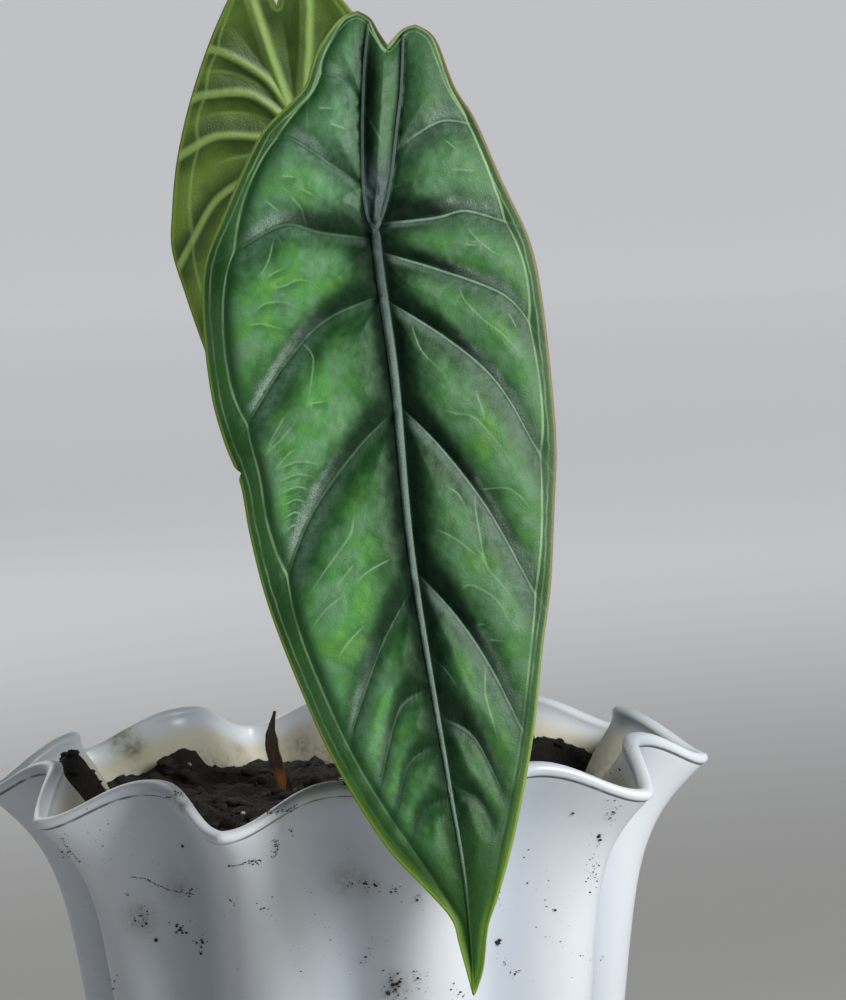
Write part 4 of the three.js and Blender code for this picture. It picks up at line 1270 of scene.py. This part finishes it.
def make_bract(material):
    shares = np.linspace(0, 1, BRACT_RINGS)
    turns = round_turns(BRACT_SIDES)
    waist = np.interp(shares, *np.array(BRACT_FORM).T)
    down, apart = np.meshgrid(shares * TEAR_SPAN, np.sign(np.cos(turns)) * TEAR_APART, indexing="ij")
    torn = fractal(np.stack([down, apart, 0 * down], axis=-1), TEAR_LENGTH, 3, seed=11)
    across = BRACT_WIDTH * waist[:, None] * (1 + BRACT_RAGGED * torn) * np.cos(turns)
    curl = BRACT_CURL * (np.cos(turns) ** 2 - 0.5) * waist[:, None]
    flute = FLUTE_DEPTH * np.cos(BRACT_FLUTES * turns) * waist[:, None]
    through = BRACT_THICKNESS * 0.7 * np.sin(turns) + curl + flute
    twist = (BRACT_TWIST * shares)[:, None]
    sway = (BRACT_SWAY * np.sin(2 * np.pi * shares))[:, None]
    height = BRACT["bottom"] + (BRACT["top"] - BRACT["bottom"]) * shares[:, None]
    places = np.stack([
        BRACT["x"] + sway + across * np.cos(twist) - through * np.sin(twist),
        BRACT["y"] + across * np.sin(twist) + through * np.cos(twist),
        height + BRACT_WAVE * waist[:, None] * np.cos(2 * turns) * shares[:, None],
    ], axis=-1)
    turn = np.linspace(0, 2 * np.pi, BRACT_SIDES + 1)
    rise = with_ends(shares)
    return one_sheet("bract_strip", material, closed_rings(places), rise=rise, turn=turn, rim=np.cos(turn))


# Pot

def ruffle(angle, depth):
    """How much the rim stands up or droops at an angle, fading to nothing at the base."""
    phase = LOBES * (angle - TROUGH_ANGLE)
    return (RUFFLE_RISE * np.cos(phase) - RUFFLE_FLAT * np.cos(2 * phase)) * (1 - depth / RIM_HEIGHT) ** 3


def wall_places(angle, depth, inset):
    """Points of the pot's wall: at an angle, a depth below the rim, and an inset from the outer face."""
    angle, depth, inset = np.broadcast_arrays(angle, depth, inset)
    phase = LOBES * (angle - TROUGH_ANGLE)
    below = np.maximum(0, depth - ruffle(TROUGH_ANGLE + np.pi / LOBES, depth) - RIM_DROP)
    flare = FLARE_WIDTH * (1 - np.exp(-((below / FLARE_DEPTH) ** FLARE_POWER)))
    crest = RIM_RADIUS - WALL_TAPER * below - flare
    pleat = PLEAT_AT_BASE + (PLEAT_AT_RIM - PLEAT_AT_BASE) * np.exp(-depth / PLEAT_FADE)
    valley = VALLEY_AT_RIM + VALLEY_GAIN * (1 - np.exp(-depth / VALLEY_FADE))
    radius = crest - pleat * ((1 + np.cos(phase)) / 2) ** valley - inset
    height = RIM_HEIGHT - depth + ruffle(angle, depth)
    return np.stack([radius * np.sin(angle), -radius * np.cos(angle), height], axis=-1)


def disc_rows(ring, shares):
    """Rings that close in on the middle of a flat ring."""
    middle = np.array([0, 0, 1]) * ring
    return middle + (ring - middle) * np.asarray(shares)[:, None, None]


def make_pot(material):
    angles = np.linspace(0, 2 * np.pi, POT_ANGLES + 1)[None]
    lip = np.linspace(-np.pi / 2, np.pi / 2, LIP_POINTS)
    lip_rows = np.stack([LIP_ROUND * (1 - np.cos(lip)), LIP_MIDDLE + LIP_HALF * np.sin(lip)], axis=-1)
    down = np.linspace(0, 1, OUTER_ROWS + 1)[1:] ** OUTER_CROWDING
    outer = np.stack([LIP_END + (RIM_HEIGHT - FOOT_CHAMFER - LIP_END) * down, 0 * down], axis=-1)[::-1]
    deep = np.linspace(0, 1, INNER_ROWS + 1)[1:] ** INNER_CROWDING
    throat_end = THROAT_ROWS[-1][0]
    inner = np.stack([throat_end + (RIM_HEIGHT - FLOOR - throat_end) * deep, 0 * deep + WALL], axis=-1)
    outside = np.vstack([FOOT_ROWS, outer, CREASE_ROWS, lip_rows])
    rows = np.vstack([outside, THROAT_ROWS, inner])
    wall = wall_places(angles, rows[:, :1], rows[:, 1:])
    under, floor = disc_rows(wall[0], DISC_SHARES), disc_rows(wall[-1], DISC_SHARES[::-1])
    inside = np.arange(len(rows)) >= len(outside)
    ones = np.ones(len(DISC_SHARES))
    return one_sheet(
        "ruffled_pot", material, np.concatenate([under, wall, floor]),
        depth=np.concatenate([ones * RIM_HEIGHT, rows[:, 0], ones * RIM_HEIGHT])[:, None],
        inside=np.concatenate([ones * 0, inside, ones])[:, None],
        valley=((1 + np.cos(LOBES * (angles - TROUGH_ANGLE))) / 2) ** 2,
    )


def cut_drain_holes(pot):
    shaft = bmesh.new()
    radius = DRAIN_RADIUS * MM
    for turn in round_turns(DRAIN_HOLES):
        middle = Vector((DRAIN_RING * math.cos(turn), DRAIN_RING * math.sin(turn), FLOOR / 2)) * MM
        bmesh.ops.create_cone(shaft, cap_ends=True, segments=DRAIN_SIDES, radius1=radius, radius2=radius,
                              depth=3 * FLOOR * MM, matrix=Matrix.Translation(middle))
    mesh = bpy.data.meshes.new("drain_shafts")
    shaft.to_mesh(mesh)
    shaft.free()
    shafts = bpy.data.objects.new("drain_shafts", mesh)
    bpy.context.scene.collection.objects.link(shafts)
    cut = pot.modifiers.new("drain", "BOOLEAN")
    cut.operation, cut.object, cut.solver = "DIFFERENCE", shafts, "EXACT"
    bpy.context.view_layer.objects.active = pot
    bpy.ops.object.modifier_apply(modifier=cut.name)
    bpy.data.objects.remove(shafts)
    bpy.data.meshes.remove(mesh)


# Soil

def soil_height(x, y):
    lump = np.sin(x / LUMP_LENGTH + LUMP_SHIFT) * np.cos(y / LUMP_LENGTH)
    ripple = np.sin((x + y) / RIPPLE_LENGTH)
    height = SOIL_LEVEL + LUMP_HEIGHT * (lump + ripple)
    for mound_x, mound_y, rise, reach in MOUNDS:
        height = height + rise * np.exp(-((x - mound_x) ** 2 + (y - mound_y) ** 2) / reach**2)
    return height


def bed_height(x, y):
    """The soil's height with its clods and crumbs."""
    flat = np.stack([x, y, 0 * x], axis=-1)
    clods = fractal(flat, CLOD_LENGTH, 3, seed=1)
    crumbs = np.abs(fractal(flat, CRUMB_LENGTH, 4, seed=2))
    return soil_height(x, y) + BED_ROUGHNESS * (clods + crumbs) - BED_DROP


def soil_edge(angles):
    """How deep below the rim the soil meets the inner wall, found by closing in on it."""
    depth = np.full(angles.shape, float(RIM_HEIGHT - SOIL_LEVEL))
    for _ in range(EDGE_PASSES):
        x, y, _ = np.moveaxis(wall_places(angles, depth, WALL), -1, 0)
        depth = RIM_HEIGHT + ruffle(angles, depth) - soil_height(x, y)
    return depth


def make_soil(material):
    angles = np.linspace(0, 2 * np.pi, SOIL_ANGLES + 1)
    depth = soil_edge(angles)
    high, low = depth + SKIRT_TOP, RIM_HEIGHT - FLOOR - SOIL_GAP
    skirt_shares = np.linspace(1, 0, SKIRT_RINGS)[:, None]
    skirt = wall_places(angles, high + (low - high) * skirt_shares, WALL + SOIL_GAP)
    rim = wall_places(angles, depth, WALL + SOIL_GAP)
    shares = np.linspace(1, 0, SOIL_RINGS + 1)[:, None, None]
    top = rim * [1, 1, 0] * shares
    top[..., 2] = bed_height(top[..., 0], top[..., 1])
    under = disc_rows(skirt[0], [0, 0.5])
    return one_sheet("soil_bed", material, np.concatenate([under, skirt, top]), shade=0)


def pebble_form(level):
    """A ball of triangles: its points and its faces."""
    ball = bmesh.new()
    bmesh.ops.create_icosphere(ball, subdivisions=level, radius=1)
    places = np.array([v.co for v in ball.verts])
    faces = np.array([[v.index for v in face.verts] for face in ball.faces])
    ball.free()
    return places, faces


def crumb(places, draw, size, place, squash=CRUMBS["squash"]):
    """One uneven lump about a place, with its points moved by noise drawn for it."""
    scales = size * np.array([1, draw.uniform(0.6, 1), draw.uniform(0.5, 1) * squash])
    turn = Matrix.Rotation(draw.uniform(0, 2 * math.pi), 3, "Z")
    turn = turn @ Matrix.Rotation(draw.uniform(-0.5, 0.5), 3, "X")
    shift = draw.uniform(-50, 50, 3)
    bumps = np.array([noise.noise(Vector(p * GRAIN_BUMPS + shift)) for p in places])
    return places * (1 + GRAIN_ROUGHNESS * bumps[:, None]) * scales @ np.array(turn).T + place


def scatter_grains(name, material, grains):
    """Grains that lie on the soil, small ones far more often than big ones."""
    draw = np.random.default_rng(grains["seed"])
    ball, faces = pebble_form(GRAIN_LEVEL)
    sheets = Sheets()
    low, high = grains["sizes"]
    spots = []
    while len(spots) < grains["count"]:
        angle, share = draw.uniform(0, 2 * np.pi), math.sqrt(draw.uniform(0, 1))
        edge = wall_places(angle, RIM_HEIGHT - SOIL_LEVEL, WALL + WALL_CLEARANCE)
        x, y = edge[:2] * share
        if math.hypot(x - RHIZOME_PLACE[0], y - RHIZOME_PLACE[1]) > STEM_CLEARANCE:
            spots.append((x, y))
    spots = np.array(spots)
    heights = bed_height(spots[:, 0], spots[:, 1])
    for (x, y), height in zip(spots, heights):
        size = low + (high - low) * draw.uniform(0, 1) ** 3
        place = np.array([x, y, height + GRAIN_LIFT * size])
        lump = crumb(ball, draw, size, place, grains["squash"])
        sheets.lump(lump, faces, shade=draw.uniform(0, 1))
    return sheets.piece(name, [material], turn_faces=False)


# The camera, and what the photograph places by its pixels

def camera_turn():
    """The camera's axes: right and up in the picture, and back towards the viewer."""
    yaw, pitch, roll = CAMERA_YAW, CAMERA_PITCH, CAMERA_ROLL
    level = np.array([math.cos(yaw), -math.sin(yaw), 0])
    ahead = np.array([math.sin(yaw), math.cos(yaw), 0])
    top = np.array([0, 0, 1.0])
    forward = math.cos(pitch) * ahead + math.sin(pitch) * top
    upward = -math.sin(pitch) * ahead + math.cos(pitch) * top
    right = math.cos(roll) * level - math.sin(roll) * upward
    over = math.sin(roll) * level + math.cos(roll) * upward
    return np.array([right, over, -forward]).T


def seen_on(piece, x, y):
    """The point of a piece that the photograph shows at a pixel, in millimetres, and the way it faces."""
    across = (x - PHOTO_WIDTH / 2) / FOCAL_PIXELS
    over = (PHOTO_HEIGHT / 2 - y) / FOCAL_PIXELS
    sight = camera_turn() @ np.array([across, over, -1])
    hit, place, facing, _ = piece.ray_cast(Vector(CAMERA_PLACE) * MM, Vector(sight).normalized())
    if not hit:
        raise ValueError(f"the photograph's pixel {x}, {y} doesn't meet {piece.name}")
    return np.array(place) / MM, np.array(facing)


def make_camera():
    lens = bpy.data.cameras.new("photo_camera")
    lens.sensor_fit = "VERTICAL"
    lens.sensor_height = SENSOR
    lens.lens = FOCAL_PIXELS / PHOTO_HEIGHT * SENSOR
    lens.clip_start = NEAREST
    camera = bpy.data.objects.new("photo_camera", lens)
    turn = Matrix(camera_turn().tolist()).to_4x4()
    camera.matrix_world = Matrix.Translation(Vector(CAMERA_PLACE) * MM) @ turn
    bpy.context.scene.collection.objects.link(camera)
    bpy.context.scene.camera = camera


# Dirt on the pot, by the photograph's pixels

GRIT_SEED = 11
GRIT_LIFT = 0.15
GRIT_LEAST = 0.1
GRIT_LEVEL = 1

# Clusters of specks: the middle, width and height, how many specks, and the biggest one's size in millimetres
DIRT_CLUSTERS = [
    (183, 846, 3, 3, 3, 0.5), (156, 940, 3, 3, 2, 0.6), (180, 930, 10, 10, 16, 0.5),
    (202, 940, 9, 14, 16, 0.45), (140, 916, 12, 13, 34, 0.3), (128, 895, 4, 4, 3, 0.3),
    (190, 893, 14, 6, 16, 0.3), (230, 900, 6, 14, 7, 0.28), (264, 908, 12, 8, 9, 0.35),
    (291, 831, 4, 4, 3, 0.3), (115, 981, 5, 8, 6, 0.35), (68, 852, 8, 14, 14, 0.28),
    (252, 861, 12, 4, 22, 0.35), (275, 846, 5, 8, 22, 0.25), (352, 884, 22, 6, 24, 0.28),
    (376, 886, 10, 8, 14, 0.4), (396, 889, 8, 8, 10, 0.35), (417, 900, 5, 9, 9, 0.4),
    (366, 957, 10, 12, 14, 0.35), (394, 984, 10, 16, 46, 0.6), (418, 978, 8, 14, 18, 0.35),
    (460, 992, 10, 8, 14, 0.4), (613, 812, 9, 12, 26, 0.32), (600, 840, 8, 8, 14, 0.4),
    (593, 872, 8, 24, 30, 0.25), (573, 813, 4, 3, 2, 0.35), (555, 910, 4, 3, 2, 0.35),
    (497, 943, 4, 4, 6, 0.75), (504, 962, 10, 8, 14, 0.25), (515, 974, 9, 6, 9, 0.35),
    (176, 794, 12, 9, 26, 0.24), (278, 811, 14, 4, 20, 0.26), (345, 783, 12, 3, 14, 0.3),
    (500, 892, 22, 30, 12, 0.25), (100, 830, 40, 40, 22, 0.22), (330, 940, 60, 50, 34, 0.24),
    (545, 900, 40, 60, 16, 0.2), (620, 770, 8, 14, 12, 0.25), (590, 960, 20, 30, 8, 0.22),
]
# Strings of specks: the pixels along each, and the size of its specks
DIRT_LINES = [
    ([(228, 866), (238, 865), (250, 861), (261, 861)], 0.2),
    ([(273, 840), (277, 845), (277, 851), (274, 856), (271, 857.5)], 0.18),
    ([(132, 877), (146, 879), (155, 884), (164, 888), (177, 892), (190, 893.5)], 0.2),
    ([(62, 838), (67, 847), (74, 856), (80, 861)], 0.16),
    ([(262, 812), (275, 813), (289, 809), (297, 805)], 0.2),
]
# Stains and moss: the middle, the reach in millimetres and the strength of each
STAINS = [
    (140, 918, 3.2, 0.45), (181, 806, 1.4, 0.8), (278, 810, 3.2, 0.4), (175, 792, 2.5, 0.35),
    (345, 880, 3.5, 0.4), (366, 884, 3, 0.35), (120, 740, 3, 0.7), (133, 748, 2.4, 0.85),
    (495, 726, 5, 0.7), (515, 722, 3, 0.5), (300, 745, 3.4, 0.5), (240, 752, 3, 0.4), (178, 887, 3.4, 0.3),
    (394, 985, 3, 0.4),
]
MOSS = [(322, 790, 4.5, 0.5), (128, 744, 4, 0.5), (490, 727, 6, 0.6), (345, 784, 4, 0.5)]


def mark_pot(pot):
    """Adds two values to the pot's points: how stained and how green with algae each is."""
    count = len(pot.data.vertices)
    places = np.empty(count * 3)
    pot.data.vertices.foreach_get("co", places)
    places = places.reshape(-1, 3) / MM
    for name, marks in (("stain", STAINS), ("moss", MOSS)):
        amount = np.zeros(count)
        for x, y, reach, strength in marks:
            middle, _ = seen_on(pot, x, y)
            amount = np.maximum(amount, strength * bell(np.linalg.norm(places - middle, axis=1), reach))
        attribute = pot.data.attributes.new(name, "FLOAT", "POINT")
        attribute.data.foreach_set("value", amount.astype(np.float32))


def make_grit(pot, material):
    """Crumbs of dirt stuck to the outside of the pot."""
    draw = np.random.default_rng(GRIT_SEED)
    ball, faces = pebble_form(GRIT_LEVEL)
    sheets = Sheets()

    def stick(x, y, size):
        place, facing = seen_on(pot, x, y)
        sheets.lump(crumb(ball, draw, size, place + facing * size * GRIT_LIFT), faces)

    for x, y, width, height, count, size in DIRT_CLUSTERS:
        stick(x, y, size)
        for _ in range(count):
            spot = x + draw.normal(0, width / 2), y + draw.normal(0, height / 2)
            stick(*spot, GRIT_LEAST + 0.8 * size * draw.random() ** 3)
    for pixels, size in DIRT_LINES:
        for x, y in spline(pixels, 9):
            stick(x + draw.normal(0, 0.5), y + draw.normal(0, 0.5), size * draw.uniform(0.5, 1.2))
    return sheets.piece("pot_grit", [material], turn_faces=False)


# Studio, in metres: a pale paper cove that glows a little, a soft lamp on the front right and two weaker ones

COVE_FLOOR = 5
COVE_BEND = 1.5
COVE_TOP = 3
COVE_RINGS = 49
COVE_BEND_RINGS = 12
COVE_SIDES = 96
GLOW_START = 0.3
GLOW_FULL = 1.6
SIDE_GLOW = 0.3
PAPER_GLOW = 0.44
GLOW_SIDES = (0.1, 0.8)
AIR_TINT = (0.84, 0.88, 0.93, 1)
AIR_POWER = 0.05

# Each lamp: its place, width, power, colour and what it is turned to
LAMPS = {
    "key": ((0.49, -0.45, 0.47), 0.34, 6.2, (1, 0.985, 0.955), (0, -0.02, 0.17)),
    "fill": ((-1, -0.9, 0.6), 1.1, 0.35, (0.84, 0.92, 1), (0, 0, 0.19)),
    "back": ((-0.7, 1.1, 0.9), 0.9, 5.5, (1, 0.99, 0.97), (0, 0, 0.19)),
}


def hang_lamp(name, place, width, power, colour, target):
    light = bpy.data.lights.new(name, "AREA")
    light.shape = "DISK"
    light.size, light.energy, light.color = width, power, colour
    holder = bpy.data.objects.new(name, light)
    holder.location = place
    holder.rotation_euler = (Vector(target) - Vector(place)).to_track_quat("-Z", "Y").to_euler()
    bpy.context.scene.collection.objects.link(holder)


def make_cove():
    """A round floor that curves up into a wall on all sides."""
    flat = [(radius, 0) for radius in np.linspace(0, COVE_FLOOR, COVE_RINGS + 1)]
    sweep = np.linspace(0, np.pi / 2, COVE_BEND_RINGS + 1)[1:]
    bend = [(COVE_FLOOR + COVE_BEND * math.sin(a), COVE_BEND * (1 - math.cos(a))) for a in sweep]
    radii, heights = np.array(flat + bend + [(COVE_FLOOR + COVE_BEND, COVE_TOP)]).T
    turns = np.linspace(0, 2 * np.pi, COVE_SIDES + 1)
    circle = np.stack([np.cos(turns), np.sin(turns), 0 * turns], axis=-1)
    places = radii[:, None, None] * circle + heights[:, None, None] * [0, 0, 1]
    around = SIDE_GLOW + (1 - SIDE_GLOW) * smoothstep(*GLOW_SIDES, np.sin(turns))
    glow = np.outer(smoothstep(GLOW_START, GLOW_FULL, radii), around)
    one_sheet("studio_cove", studio_paper(), places / MM, glow=glow)


def make_studio():
    for name, settings in LAMPS.items():
        hang_lamp(name, *settings)
    world = bpy.data.worlds.new("studio")
    world.use_nodes = True
    world.node_tree.nodes["Background"].inputs["Color"].default_value = AIR_TINT
    world.node_tree.nodes["Background"].inputs["Strength"].default_value = AIR_POWER
    bpy.context.scene.world = world
    make_cove()
    bpy.context.scene.view_settings.view_transform = "Standard"


# Assembly

make_camera()
make_studio()

upper_skin, under_skin, stalk_material = upper_leaf(), under_leaf(), stalk_skin()
earth_material, dirt_material = earth(), dirt()

fit_out(make_blade("front_leaf", FRONT_LEAF, upper_skin, under_skin), "leaf_front", "leaf_front_blade")
fit_out(make_blade("back_leaf", BACK_LEAF, upper_skin, under_skin), "leaf_back", "leaf_back_blade")
fit_out(make_stalk("front_stalk", FRONT_LEAF, FRONT_STALK, stalk_material), "stalk", "leaf_front_stalk")
fit_out(make_stalk("back_stalk", BACK_LEAF, BACK_STALK, stalk_material), "stalk", "leaf_back_stalk")
fit_out(make_rhizome(bark()), "rhizome", "rhizome")
fit_out(make_bract(dry_paper()), "bract", "dried_bract")

pot = make_pot(moulded_plastic())
cut_drain_holes(pot)
bpy.context.view_layer.update()
mark_pot(pot)
fit_out(pot, "pot", "pot")
fit_out(make_grit(pot, dirt_material), "soil")

fit_out(make_soil(earth_material), "soil", "soil")
fit_out(scatter_grains("soil_crumbs", earth_material, CRUMBS), "soil")
fit_out(scatter_grains("perlite_bits", perlite(), PERLITE_BITS), "soil")
